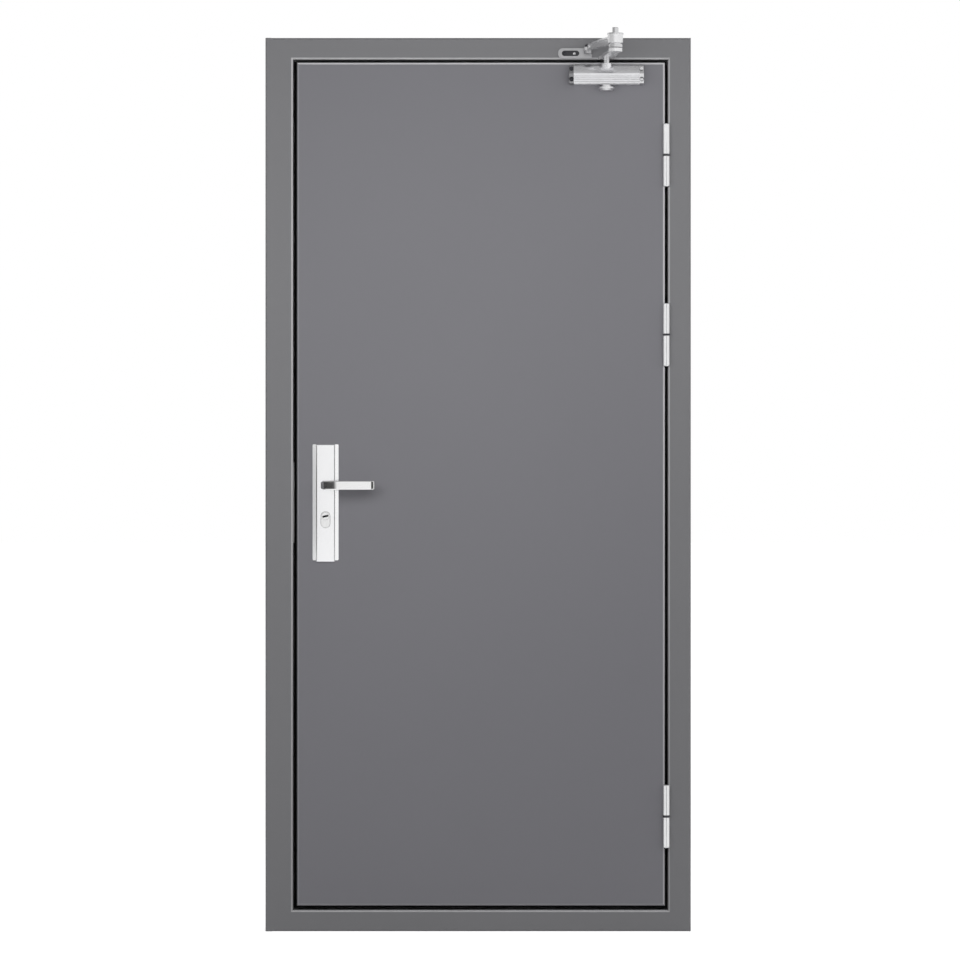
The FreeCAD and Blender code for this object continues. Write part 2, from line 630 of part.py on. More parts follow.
# Openings for the two bolts in the lock-side jamb, behind the strike plate
lock_drop = frame_height - handle_height
windows = sketch_on(lock_jamb, "jamb_strike_openings", "YZ_Plane", stop_width - cut_margin)
for drop, tall in ((0, latch_height), (cylinder_drop, dead_bolt_height)):
    middle = lock_drop + drop
    rectangle(windows, bolt_middle - bolt_width / 2 - strike_margin,
              bolt_middle + bolt_width / 2 + strike_margin,
              middle - tall / 2 - strike_margin, middle + tall / 2 + strike_margin)
pocket(lock_jamb, windows, cut_margin + frame_gauge + recess_clearance, "up")

# Strike plate on the lock-side jamb, upright, with one opening for each bolt
strike = new_body("strike_plate", lock_face - half_width, leaf_front + bolt_middle, handle_height)
blank = sketch_on(strike, "strike_blank", "YZ_Plane")
rectangle(blank, -faceplate_width / 2, faceplate_width / 2,
          -faceplate_drop - strike_length / 2, strike_length / 2 - faceplate_drop)
pad(strike, blank, strike_thickness)
holes = sketch_on(strike, "strike_openings", "YZ_Plane")
for drop, tall in ((0, latch_height), (cylinder_drop, dead_bolt_height)):
    rectangle(holes, -bolt_width / 2 - strike_margin, bolt_width / 2 + strike_margin,
              -drop - tall / 2 - strike_margin, tall / 2 + strike_margin - drop)
pocket(strike, holes)


# Leaf: two folded skins meeting in a seam, round a solid core
# Leaf bodies share one origin: the lock-side lower corner of the front face.

def leaf_body(label):
    return new_body(label, leaf_left, leaf_front, leaf_bottom)


def leaf_openings(body):
    """Recesses and holes that pass through whatever part of the leaf this body is."""
    name = body.Label
    recess = sketch_on(body, name + "_hinge_recess", "YZ_Plane",
                       leaf_width - hinge_plate - recess_clearance)
    for height in hinge_heights:
        level = height - leaf_bottom
        rectangle(recess, -cut_margin, hinge_plate_depth + recess_clearance,
                  level, level + knuckle_length + recess_clearance)
    pocket(body, recess, hinge_plate + recess_clearance + cut_margin, "up")
    plate = sketch_on(body, name + "_faceplate_recess", "YZ_Plane", -cut_margin)
    level = handle_height - leaf_bottom - faceplate_drop
    half_long = faceplate_length / 2 + recess_clearance
    half_wide = faceplate_width / 2 + recess_clearance
    rectangle(plate, bolt_middle - half_wide, bolt_middle + half_wide,
              level - half_long, level + half_long)
    pocket(body, plate, cut_margin + faceplate_thickness, "up")
    through = sketch_on(body, name + "_lock_holes", "XZ_Plane")
    level = handle_height - leaf_bottom
    circle(through, handle_backset, level, spindle_hole)
    cylinder_slot(through, handle_backset, level - cylinder_drop,
                  cylinder_radius + cylinder_clearance)
    pocket(body, through)


def leaf_skin(label, closed, opened, inner_face):
    """A tray of sheet metal: the closed side is the leaf's face, bent round to the open side."""
    body = leaf_body(label)
    gauge = skin_gauge
    blank = sketch_on(body, label + "_blank", "XY_Plane")
    outline(blank, [(0, closed), (leaf_width, closed), (leaf_width, opened), (0, opened)])
    pad(body, blank, leaf_height)
    hollow = sketch_on(body, label + "_hollow", "XY_Plane", gauge)
    outline(hollow, [(gauge, inner_face), (leaf_width - gauge, inner_face),
                     (leaf_width - gauge, opened), (gauge, opened)])
    pocket(body, hollow, leaf_height - 2 * gauge, "up")
    dress(body, "Fillet", label + "_inner_bends", skin_bend - gauge, at_level(1, [inner_face]))
    dress(body, "Fillet", label + "_bends", skin_bend, at_level(1, [closed]))
    leaf_openings(body)
    return body


leaf_skin("leaf_front_skin", as_size(0), front_skin_depth, skin_gauge)
leaf_skin("leaf_rear_skin", leaf_thickness, front_skin_depth + seam_gap,
          leaf_thickness - skin_gauge)

core = leaf_body("leaf_core")
blank = sketch_on(core, "core_blank", "XY_Plane", core_inset)
rectangle(blank, core_inset, leaf_width - core_inset, skin_gauge, leaf_thickness - skin_gauge)
pad(core, blank, leaf_height - 2 * core_inset)
leaf_openings(core)
sockets = sketch_on(core, "bolt_sockets", "YZ_Plane")
for drop, tall in ((0, latch_height), (cylinder_drop, dead_bolt_height)):
    middle = handle_height - leaf_bottom - drop
    rectangle(sockets, bolt_middle - bolt_width / 2 - bolt_clearance,
              bolt_middle + bolt_width / 2 + bolt_clearance,
              middle - tall / 2 - bolt_clearance, middle + tall / 2 + bolt_clearance)
pocket(core, sockets, bolt_length + bolt_clearance, "up")

# Lock faceplate let into the leaf's edge, with both bolts drawn back flush with it
faceplate = new_body("lock_faceplate", leaf_left, leaf_front + bolt_middle, handle_height)
blank = sketch_on(faceplate, "faceplate_blank", "YZ_Plane")
rectangle(blank, -faceplate_width / 2, faceplate_width / 2,
          -faceplate_drop - faceplate_length / 2, faceplate_length / 2 - faceplate_drop)
pad(faceplate, blank, faceplate_thickness)
holes = sketch_on(faceplate, "faceplate_openings", "YZ_Plane")
for drop, tall in ((0, latch_height), (cylinder_drop, dead_bolt_height)):
    rectangle(holes, -bolt_width / 2 - bolt_clearance, bolt_width / 2 + bolt_clearance,
              -drop - tall / 2 - bolt_clearance, tall / 2 + bolt_clearance - drop)
pocket(faceplate, holes)

for label, drop, tall in (("latch_bolt", 0, latch_height),
                          ("dead_bolt", cylinder_drop, dead_bolt_height)):
    bolt = new_body(label, leaf_left, leaf_front + bolt_middle, handle_height - drop)
    section = sketch_on(bolt, label + "_section", "YZ_Plane")
    rectangle(section, -bolt_width / 2, bolt_width / 2, -tall / 2, tall / 2)
    pad(bolt, section, bolt_length)


# Hinges: a plate and a knuckle on each side, the frame's half carrying the pin
# The origin of each half is the hinge axis at the split.

for label, height in zip(hinge_names, hinge_heights):
    fixed = new_body("hinge_frame_" + label, hinge_x, hinge_y, height)
    barrel = sketch_on(fixed, "frame_knuckle_" + label, "XY_Plane", -hinge_split / 2)
    circle(barrel, 0, 0, knuckle_radius)
    pad(fixed, barrel, knuckle_length - hinge_split / 2, "down")
    dress(fixed, "Chamfer", "frame_knuckle_chamfer_" + label, knuckle_chamfer,
          at_level(2, [-knuckle_length, -hinge_split / 2]))
    flag = sketch_on(fixed, "frame_plate_" + label, "XY_Plane", -hinge_split / 2 - knuckle_chamfer)
    rectangle(flag, hinge_axis_inset, hinge_axis_inset + hinge_plate,
              0, knuckle_radius + hinge_plate_depth)
    pad(fixed, flag, knuckle_length - hinge_split / 2 - 2 * knuckle_chamfer, "down")
    pin = sketch_on(fixed, "hinge_pin_" + label, "XY_Plane", -hinge_split)
    circle(pin, 0, 0, pin_radius)
    pad(fixed, pin, hinge_split + pin_rise)

    moving = new_body("hinge_leaf_" + label, hinge_x, hinge_y, height)
    barrel = sketch_on(moving, "leaf_knuckle_" + label, "XY_Plane", hinge_split / 2)
    circle(barrel, 0, 0, knuckle_radius)
    pad(moving, barrel, knuckle_length - hinge_split / 2)
    dress(moving, "Chamfer", "leaf_knuckle_chamfer_" + label, knuckle_chamfer,
          at_level(2, [knuckle_length, hinge_split / 2]))
    flag = sketch_on(moving, "leaf_plate_" + label, "XY_Plane", hinge_split / 2 + knuckle_chamfer)
    edge = hinge_axis_inset - hinge_gap
    rectangle(flag, edge - hinge_plate, edge, 0, knuckle_radius + hinge_plate_depth)
    pad(moving, flag, knuckle_length - hinge_split / 2 - 2 * knuckle_chamfer)
    bore = sketch_on(moving, "leaf_knuckle_bore_" + label, "XY_Plane")
    circle(bore, 0, 0, pin_radius + pin_clearance)
    pocket(moving, bore, pin_rise + hinge_split, "up")


# Handle: the same plate and lever on both faces of the leaf
# Seen from its own side, x runs along the door, y runs up and z comes off the leaf.

def face_place(rear):
    """Where a piece stands on the front or rear face, about the handle's axis."""
    if rear:
        return (handle_x, leaf_front + leaf_thickness, handle_height, (0, 1, 1), 180)
    return (handle_x, leaf_front, handle_height, (1, 0, 0), 90)


def handle_plate(label, rear):
    body = new_body(label, *face_place(rear))
    bands = sketch_on(body, label + "_bands", "XY_Plane")
    rectangle(bands, -plate_width / 2, plate_width / 2, -plate_below, plate_above)
    pad(body, bands, plate_thickness)
    corners = [(x, y) for x in (-plate_width / 2, plate_width / 2)
               for y in (-plate_below, plate_above)]
    dress(body, "Fillet", label + "_corners", panel_round, along(2, corners))
    raised = sketch_on(body, label + "_panel", "XY_Plane")
    rectangle(raised, -panel_width / 2, panel_width / 2, -plate_below - panel_overrun,
              plate_above)
    pad(body, raised, panel_thickness)
    dress(body, "Fillet", label + "_rounds", panel_round, at_level(2, [panel_thickness]))
    holes = sketch_on(body, label + "_holes", "XY_Plane")
    circle(holes, 0, 0, neck_radius + neck_clearance)
    cylinder_slot(holes, 0, -cylinder_drop, cylinder_radius + cylinder_clearance)
    pocket(body, holes)


def lever(label, rear):
    """Round neck, then a flat band bent to the side, with its tip turned back to the leaf."""
    body = new_body(label, *face_place(rear))
    way = -1 if rear else 1
    reach = lever_reach * way
    inside = (lever_reach - grip_thickness) * way
    side = neck_radius * way
    under = lever_rise - grip_thickness
    neck_top = neck_seat + neck_length
    tip_low = lever_rise - tip_return
    below = neck_top - cut_margin
    above = lever_rise + cut_margin
    clear = neck_radius + cut_margin
    beyond = (lever_reach + neck_radius + cut_margin) * way

    # Front view: a block as high as the neck, round at the neck's end
    neck = sketch_on(body, label + "_neck", "XY_Plane", neck_seat)
    circle(neck, 0, 0, neck_radius)
    pad(body, neck, neck_length)
    front = sketch_on(body, label + "_front", "XY_Plane", neck_top)
    ends = [(reach, as_size(0)), (as_size(0), as_size(0))]
    slot(front, *(ends if way > 0 else ends[::-1]), neck_radius)
    pad(body, front, lever_rise - neck_top)
    # Plan view: what lies outside the bent band goes, then the hollow behind the grip
    outer = sketch_on(body, label + "_outer", "XZ_Plane")
    rounded_outline(outer, [(-side, below, None), (-clear * way, below, None),
                            (-clear * way, above, None), (beyond, above, None),
                            (beyond, below, None), (reach, below, None),
                            (reach, lever_rise, tip_bend), (-side, lever_rise, lever_bend)])
    pocket(body, outer)
    inner = sketch_on(body, label + "_inner", "XZ_Plane")
    rounded_outline(inner, [(side, below, None), (side, under, lever_crook),
                            (inside, under, tip_bend - grip_thickness),
                            (inside, tip_low, None), (beyond, tip_low, None),
                            (beyond, below, None)])
    pocket(body, inner)
    socket = sketch_on(body, label + "_socket", "XY_Plane")
    half = spindle_side / 2 + spindle_clearance
    rectangle(socket, -half, half, -half, half)
    pocket(body, socket, neck_seat + spindle_depth, "up")
    return body


for side, rear in (("front", False), ("rear", True)):
    handle_plate("handle_plate_" + side, rear)
    lever("lever_" + side, rear)

spindle = new_body("handle_spindle", handle_x, leaf_front, handle_height)
section = sketch_on(spindle, "handle_spindle_section", "XZ_Plane", neck_seat + spindle_depth
                    - spindle_clearance)
rectangle(section, -spindle_side / 2, spindle_side / 2, -spindle_side / 2, spindle_side / 2)
pad(spindle, section, leaf_thickness + 2 * (neck_seat + spindle_depth - spindle_clearance), "down")

# Lock cylinder: an oval bar through the leaf, with a key plug at each end
proud = panel_thickness + cylinder_proud
cylinder = new_body("key_cylinder", handle_x, leaf_front, handle_height - cylinder_drop)
oval = sketch_on(cylinder, "cylinder_oval", "XZ_Plane", proud)
cylinder_slot(oval, 0, as_size(0), cylinder_radius)
pad(cylinder, oval, leaf_thickness + 2 * proud, "down")
dress(cylinder, "Chamfer", "cylinder_ends", cylinder_chamfer,
      at_level(1, [-proud, leaf_thickness + proud]))
for name, level, way in (("front", proud, "down"), ("rear", -(leaf_thickness + proud), "up")):
    bore = sketch_on(cylinder, "plug_bore_" + name, "XZ_Plane", level)
    circle(bore, 0, 0, plug_radius + plug_clearance)
    pocket(cylinder, bore, plug_depth, way)

for side, rear in (("front", False), ("rear", True)):
    x, y, z, axis, angle = face_place(rear)
    plug = new_body("key_plug_" + side, x, y, z - cylinder_drop, axis, angle)
    disc = sketch_on(plug, "plug_disc_" + side, "XY_Plane", proud - plug_depth)
    circle(disc, 0, 0, plug_radius)
    pad(plug, disc, plug_depth)
    keyway = sketch_on(plug, "keyway_" + side, "XY_Plane", proud)
    keyway.AttachmentOffset = FreeCAD.Placement(
        keyway.AttachmentOffset.Base, FreeCAD.Rotation(Vector(0, 0, 1), keyway_tilt.value))
    keyway.setExpression(".AttachmentOffset.Rotation.Angle", keyway_tilt.text)
    rectangle(keyway, -keyway_length / 2, keyway_length / 2, -keyway_width / 2, keyway_width / 2)
    pocket(plug, keyway, keyway_depth, "down")


# Door closer on the leaf
# The origin is below the spindle, on the leaf's face, at the body's underside.

closer_x = hinge_x - closer_inset
closer_z = leaf_top - closer_below_top
closer = new_body("closer_body", closer_x, leaf_front, closer_z)
profile = sketch_on(closer, "closer_profile", "YZ_Plane")
outline(profile, [(0, 0), (-closer_depth, 0), (-closer_depth, closer_band),
                  (-closer_top_depth, closer_height), (0, closer_height)])
pad(closer, profile, closer_length, "both")
dress(closer, "Fillet", "closer_edge", closer_round, along(0, [(-closer_depth, 0)]))
shoulder = sketch_on(closer, "closer_shoulder", "YZ_Plane")
bow(shoulder, (-closer_depth, closer_band), (-closer_top_depth, closer_height), closer_shoulder)
pad(closer, shoulder, closer_length, "both")
flutes = sketch_on(closer, "closer_flutes", "YZ_Plane")
for i in range(int(flute_count.value)):
    level = flute_first + flute_spacing * i
    outline(flutes, [(-closer_depth - cut_margin, level - flute_width / 2),
                     (-closer_depth, level - flute_width / 2),
                     (-closer_depth + flute_depth, level),
                     (-closer_depth, level + flute_width / 2),
                     (-closer_depth - cut_margin, level + flute_width / 2)])
pocket(closer, flutes)
boss = sketch_on(closer, "closer_boss", "XY_Plane", boss_root)
circle(boss, 0, -closer_offset, boss_radius)
pad(closer, boss, boss_top - boss_root)
bore = sketch_on(closer, "closer_bore", "XY_Plane", boss_top)
circle(bore, 0, -closer_offset, spindle_radius + spindle_fit)
pocket(closer, bore, spindle_sink + spindle_fit, "down")

# End caps, each with two round scallops open to the front for the cap screws
for label, side, way in (("closer_cap_left", -1, "down"), ("closer_cap_right", 1, "up")):
    cap = new_body(label, closer_x, leaf_front, closer_z)
    shape = sketch_on(cap, label + "_profile", "YZ_Plane", closer_length / 2 * side)
    inset = closer_cap_inset
    outline(shape, [(-closer_cap_back, inset), (inset - closer_depth, inset),
                    (inset - closer_depth, closer_band), (-closer_top_depth, closer_height - inset),
                    (-closer_cap_back, closer_height - inset)])
    pad(cap, shape, closer_cap, way)
    scallops = sketch_on(cap, label + "_scallops", "XZ_Plane", scallop_floor)
    for level in (scallop_low, scallop_high):
        circle(scallops, (closer_length + closer_cap) / 2 * side, level, scallop_radius)
    pocket(cap, scallops, closer_depth, "up")

foot = new_body("closer_lower_cap", closer_x, leaf_front - closer_offset, closer_z)
neck = sketch_on(foot, "lower_cap_neck", "XY_Plane")
circle(neck, 0, 0, foot_neck_radius)
pad(foot, neck, foot_neck, "down")
disc = sketch_on(foot, "lower_cap_disc", "XY_Plane", -foot_neck)
circle(disc, 0, 0, foot_radius)
pad(foot, disc, foot_height, "down")
dress(foot, "Chamfer", "lower_cap_edge", foot_chamfer, at_level(2, [-foot_neck - foot_height]))


# Closer arms: the main arm turns with the spindle, the forearm turns on the shoe's pin

arm_low = leaf_top + arm_lift
arm_top = arm_low + arm_thickness
spindle_y = leaf_front - closer_offset
arm_length = Size(math.hypot(elbow_out.value, elbow_side.value),
                  "sqrt(%s^2 + %s^2)" % (elbow_out.text, elbow_side.text))
arm_turn = Size(math.degrees(math.atan2(elbow_side.value, elbow_out.value)) - 90,
                "(atan(%s / %s) - 90deg)" % (elbow_side.text, elbow_out.text))

shaft = new_body("closer_spindle", closer_x, spindle_y, arm_low)
section = sketch_on(shaft, "closer_spindle_section", "XY_Plane", arm_thickness)
circle(section, 0, 0, spindle_radius)
boss_level = closer_z + boss_top - arm_low
pad(shaft, section, arm_thickness - boss_level + spindle_sink, "down")
screw = sketch_on(shaft, "arm_screw", "XY_Plane", arm_thickness)
circle(screw, 0, 0, arm_screw_radius)
pad(shaft, screw, arm_screw_height)
dress(shaft, "Chamfer", "arm_screw_edge", screw_chamfer,
      at_level(2, [arm_thickness + arm_screw_height]))

arm = new_body("closer_main_arm", closer_x, spindle_y, arm_low, (0, 0, 1), arm_turn)
bar = sketch_on(arm, "arm_bar", "XY_Plane")
outline(bar, [(0, -arm_root_width / 2), (arm_length, -arm_end_width / 2),
              (arm_length, arm_end_width / 2), (0, arm_root_width / 2)])
pad(arm, bar, arm_thickness)
for name, x, radius in (("arm_spindle_eye", 0, arm_eye), ("arm_elbow_eye", arm_length, elbow_eye)):
    eye = sketch_on(arm, name, "XY_Plane")
    circle(eye, x, 0, radius)
    pad(arm, eye, arm_thickness)
bore = sketch_on(arm, "arm_bore", "XY_Plane")
circle(bore, 0, 0, spindle_radius)
pocket(arm, bore)

pivot_x = hinge_x - pivot_inset
pivot_y = leaf_front - pivot_offset
elbow_dx = pivot_inset - closer_inset + elbow_side
elbow_dy = elbow_out + closer_offset - pivot_offset
fore_length = Size(math.hypot(elbow_dx.value, elbow_dy.value),
                   "sqrt(%s^2 + %s^2)" % (elbow_dx.text, elbow_dy.text))
fore_turn = Size(math.degrees(math.atan2(elbow_dx.value, elbow_dy.value)) - 90,
                 "(atan(%s / %s) - 90deg)" % (elbow_dx.text, elbow_dy.text))
hub_low = arm_top + elbow_gap + ring_height + groove_height
hub_top = hub_low + hub_height

forearm = new_body("closer_forearm", pivot_x, pivot_y, hub_low, (0, 0, 1), fore_turn)
hub = sketch_on(forearm, "forearm_hub", "XY_Plane")
circle(hub, fore_length, 0, hub_radius)
pad(forearm, hub, hub_height)
bar = sketch_on(forearm, "forearm_bar", "XZ_Plane")
outline(bar, [(forearm_start, forearm_lift), (fore_length, forearm_lift),
              (fore_length, forearm_lift + forearm_height),
              (forearm_start, forearm_lift + forearm_end_height)])
pad(forearm, bar, forearm_width, "both")
tongue = sketch_on(forearm, "forearm_tongue", "XY_Plane", forearm_lift)
rectangle(tongue, 0, forearm_start + forearm_width, -forearm_width / 2, forearm_width / 2)
pad(forearm, tongue, eye_height)
eye = sketch_on(forearm, "forearm_eye", "XY_Plane", forearm_lift)
circle(eye, 0, 0, eye_radius)
pad(forearm, eye, eye_height)
bore = sketch_on(forearm, "forearm_bore", "XY_Plane")
circle(bore, 0, 0, pivot_radius + pivot_fit)
pocket(forearm, bore)

# A hollow along each side of the forearm leaves a rib at its upper and lower edges
hollow_start = forearm_start + rib_end
hollow_end = fore_length - hub_radius - rib_end
for name, level in (("forearm_hollow_near", forearm_width / 2),
                    ("forearm_hollow_far", rib_depth - forearm_width / 2)):
    hollow = sketch_on(forearm, name, "XZ_Plane", level)
    outline(hollow, [(hollow_start, forearm_lift + rib_height),
                     (hollow_end, forearm_lift + rib_height),
                     (hollow_end, forearm_lift + forearm_height - rib_height),
                     (hollow_start, forearm_lift + forearm_end_height - rib_height)])
    pocket(forearm, hollow, rib_depth, "down")

elbow_x = closer_x + elbow_side
elbow_y = spindle_y - elbow_out
joint = new_body("elbow_joint", elbow_x, elbow_y, arm_top + elbow_gap)
ring = sketch_on(joint, "elbow_ring", "XY_Plane")
circle(ring, 0, 0, ring_radius)
pad(joint, ring, ring_height)
groove = sketch_on(joint, "elbow_groove", "XY_Plane", ring_height)
circle(groove, 0, 0, groove_radius)
pad(joint, groove, groove_height)
nut = new_body("elbow_nut", elbow_x, elbow_y, hub_top)
washer = sketch_on(nut, "elbow_washer", "XY_Plane")
circle(washer, 0, 0, washer_radius)
pad(nut, washer, washer_height)
round_nut = sketch_on(nut, "elbow_round_nut", "XY_Plane", washer_height)
circle(round_nut, 0, 0, nut_radius)
pad(nut, round_nut, nut_height)
dress(nut, "Chamfer", "elbow_nut_edge", screw_chamfer, at_level(2, [washer_height + nut_height]))


# Shoe on the head's face, with the ear and bolt that the forearm turns on

shoe_low = frame_height - head_face + shoe_above_edge
shoe = new_body("closer_shoe", hinge_x - shoe_left, leaf_front, shoe_low)
base = sketch_on(shoe, "shoe_plate", "XZ_Plane")
rectangle(base, 0, shoe_length, 0, shoe_height)
pad(shoe, base, shoe_thickness)
dress(shoe, "Fillet", "shoe_free_end", shoe_round, along(1, [(0, 0), (0, shoe_height)]))
dress(shoe, "Fillet", "shoe_ear_end", shoe_corner,
      along(1, [(shoe_length, 0), (shoe_length, shoe_height)]))
hollow = sketch_on(shoe, "shoe_hollow", "XZ_Plane", shoe_thickness)
slot(hollow, (shoe_recess_start + shoe_recess_run, shoe_height / 2),
     (shoe_recess_start, shoe_height / 2), shoe_recess_radius)
pocket(shoe, hollow, shoe_recess_depth, "down")
pivot_along = shoe_left - pivot_inset
ear_top = hub_low + forearm_lift - eye_gap - shoe_low
ear = sketch_on(shoe, "shoe_ear", "XY_Plane", ear_top - ear_height)
circle(ear, pivot_along, -pivot_offset, ear_radius)
pad(shoe, ear, ear_height)
web = sketch_on(shoe, "shoe_web", "XY_Plane", ear_top - ear_height)
rectangle(web, pivot_along - ear_radius, pivot_along + ear_radius,
          -pivot_offset, -shoe_thickness / 2)
pad(shoe, web, ear_height)
bore = sketch_on(shoe, "shoe_bore", "XY_Plane", ear_top)
circle(bore, pivot_along, -pivot_offset, pivot_radius)
pocket(shoe, bore, ear_height, "down")

bolt = new_body("shoe_pivot_bolt", pivot_x, pivot_y, shoe_low + ear_top)
shank = sketch_on(bolt, "pivot_shank", "XY_Plane", -ear_height)
circle(shank, 0, 0, pivot_radius)
pad(bolt, shank, ear_height + 2 * eye_gap + eye_height)
cap = sketch_on(bolt, "pivot_head_disc", "XY_Plane", 2 * eye_gap + eye_height)
circle(cap, 0, 0, pivot_head_radius)
pad(bolt, cap, pivot_head)
dress(bolt, "Chamfer", "pivot_head_edge", screw_chamfer,
      at_level(2, [2 * eye_gap + eye_height + pivot_head]))


# Check every feature, then write one STEP file per body

doc.recompute()
for item in doc.Objects:
    faults = [word for word in item.State if word in ("Invalid", "Error")]
    if faults:
        raise RuntimeError("%s: %s" % (item.Label, item.State))
for item in doc.Objects:
    if item.TypeId == "PartDesign::Body":
        shape = item.Shape
        if shape.isNull() or not shape.isValid() or len(shape.Solids) != 1:
            raise RuntimeError("%s has %d solids" % (item.Label, len(shape.Solids)))
        shape.exportStep("parts/%s.step" % item.Label)
        print(item.Label, round(shape.Volume), "mm3")
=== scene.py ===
# %% [markdown]
# # A steel utility door, dressed
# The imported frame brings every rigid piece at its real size: a folded steel frame, a
# flush leaf on three lift-off hinges, a lever handle on a long plate and an arm closer.
# These cells give each surface the finish of the real door, add the screws, washers and
# rubber lips that are too small for the frame, and light the door as in a pale photo studio.
# Lengths are in metres. X runs right, Y runs back from the front face and Z runs up.

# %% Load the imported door
import math
import bmesh
import bpy
from mathutils import Matrix, Vector


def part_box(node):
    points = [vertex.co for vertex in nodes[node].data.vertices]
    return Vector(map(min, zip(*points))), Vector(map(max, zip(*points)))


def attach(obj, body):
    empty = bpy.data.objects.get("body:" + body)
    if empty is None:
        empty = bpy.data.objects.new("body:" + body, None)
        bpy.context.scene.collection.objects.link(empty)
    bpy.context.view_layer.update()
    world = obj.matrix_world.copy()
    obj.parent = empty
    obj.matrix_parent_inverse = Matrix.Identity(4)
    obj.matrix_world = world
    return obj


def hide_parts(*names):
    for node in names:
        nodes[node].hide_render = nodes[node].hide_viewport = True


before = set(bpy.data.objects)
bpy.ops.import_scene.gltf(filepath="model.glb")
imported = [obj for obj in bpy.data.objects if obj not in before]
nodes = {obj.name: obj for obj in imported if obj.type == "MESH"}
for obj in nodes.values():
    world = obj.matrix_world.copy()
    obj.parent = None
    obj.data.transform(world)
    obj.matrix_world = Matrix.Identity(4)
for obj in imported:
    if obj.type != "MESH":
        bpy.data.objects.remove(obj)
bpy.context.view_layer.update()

# %% [markdown]
# ## Small helpers for shader trees
# Every finish below is a network of shader nodes. One helper adds a node with its
# settings and its inputs, so that a material reads as a list of steps. Another starts a
# node group: an effect that several finishes share is built once as a group and placed in
# each with its own values, as a paint shop uses one spray gun for many colours. Patterns
# are laid out in object space, which keeps their size on every piece and needs no unwrapping.

# %% Node helpers
mm = 0.001


def put(tree, kind, inputs=None, **settings):
    """Add one node, set it up, and fill its inputs with values or links."""
    made = tree.nodes.new(kind)
    for key, value in settings.items():
        setattr(made, key, value)
    for key, value in (inputs or {}).items():
        if isinstance(value, bpy.types.NodeSocket):
            tree.links.new(value, made.inputs[key])
        else:
            made.inputs[key].default_value = value
    return made


def math_step(tree, operation, first, second=0.0, clamp=False):
    """One sum of two values or sockets; the result socket comes back."""
    made = put(tree, "ShaderNodeMath", {0: first, 1: second}, operation=operation)
    made.use_clamp = clamp
    return made.outputs[0]


def remap(tree, value, low, high, to_low=0.0, to_high=1.0, smooth=True):
    """Carry a value from one span to another, easing at both ends."""
    made = put(tree, "ShaderNodeMapRange", {"Value": value, "From Min": low, "From Max": high,
                                            "To Min": to_low, "To Max": to_high})
    made.interpolation_type = "SMOOTHSTEP" if smooth else "LINEAR"
    return made.outputs["Result"]


def new_group(name, inputs, outputs):
    """A shader node group with named sockets; its tree, inputs and output node come back."""
    tree = bpy.data.node_groups.new(name, "ShaderNodeTree")
    for title, kind, value in inputs:
        socket = tree.interface.new_socket(name=title, in_out="INPUT", socket_type=kind)
        socket.default_value = value
    for title, kind in outputs:
        tree.interface.new_socket(name=title, in_out="OUTPUT", socket_type=kind)
    entry = tree.nodes.new("NodeGroupInput")
    leave = tree.nodes.new("NodeGroupOutput")
    return tree, entry.outputs, leave


NUMBER = "NodeSocketFloat"
COLOUR = "NodeSocketColor"
DIRECTION = "NodeSocketVector"


def use_group(tree, group, inputs):
    """Place a group in a material with its own values; its outputs come back."""
    return put(tree, "ShaderNodeGroup", inputs, node_tree=group).outputs


def split(tree, vector):
    """The X, Y and Z of a vector socket."""
    return put(tree, "ShaderNodeSeparateXYZ", {"Vector": vector}).outputs


def object_place(tree):
    """The place on the surface in the door's own space, as one vector socket."""
    return put(tree, "ShaderNodeTexCoord").outputs["Object"]


def add_object(name, data):
    """Put a mesh, lamp or camera into the scene."""
    made = bpy.data.objects.new(name, data)
    bpy.context.scene.collection.objects.link(made)
    return made


print("helpers ready")

# %% [markdown]
# ## Powder coat texture
# Powder coat is sprayed dry and baked, so it melts into a skin with a fine orange peel and
# a slower wave under it. It could be drawn with a painted height map, but noise in object
# space suits a sprayed surface and is never seen to repeat, so two noises are mixed here.

# %% Orange peel group
orange_peel, entry, leave = new_group(
    "orange_peel",
    [("Peel Size", NUMBER, 0.0012), ("Wave Size", NUMBER, 0.012), ("Wave Share", NUMBER, 0.4)],
    [("Height", NUMBER), ("Speckle", NUMBER)])
place = object_place(orange_peel)
peel = put(orange_peel, "ShaderNodeTexNoise",
           {"Vector": place, "Detail": 2.0, "Roughness": 0.5,
            "Scale": math_step(orange_peel, "DIVIDE", 1.0, entry["Peel Size"])})
wave = put(orange_peel, "ShaderNodeTexNoise",
           {"Vector": place, "Detail": 1.0, "Roughness": 0.4,
            "Scale": math_step(orange_peel, "DIVIDE", 1.0, entry["Wave Size"])})
both = put(orange_peel, "ShaderNodeMix", {"Factor": entry["Wave Share"],
                                          "A": peel.outputs["Fac"], "B": wave.outputs["Fac"]})
orange_peel.links.new(both.outputs["Result"], leave.inputs["Height"])
orange_peel.links.new(remap(orange_peel, peel.outputs["Fac"], 0.35, 0.65),
                      leave.inputs["Speckle"])
print("group made:", orange_peel.name)

# %% [markdown]
# ## Slow drift of tone
# No baked or lacquered surface is one even colour: film thickness and handling leave faint
# patches. A large, weak noise that lightens and darkens the colour by a percent or two is
# enough, because more would read as dirt on a door that is new.

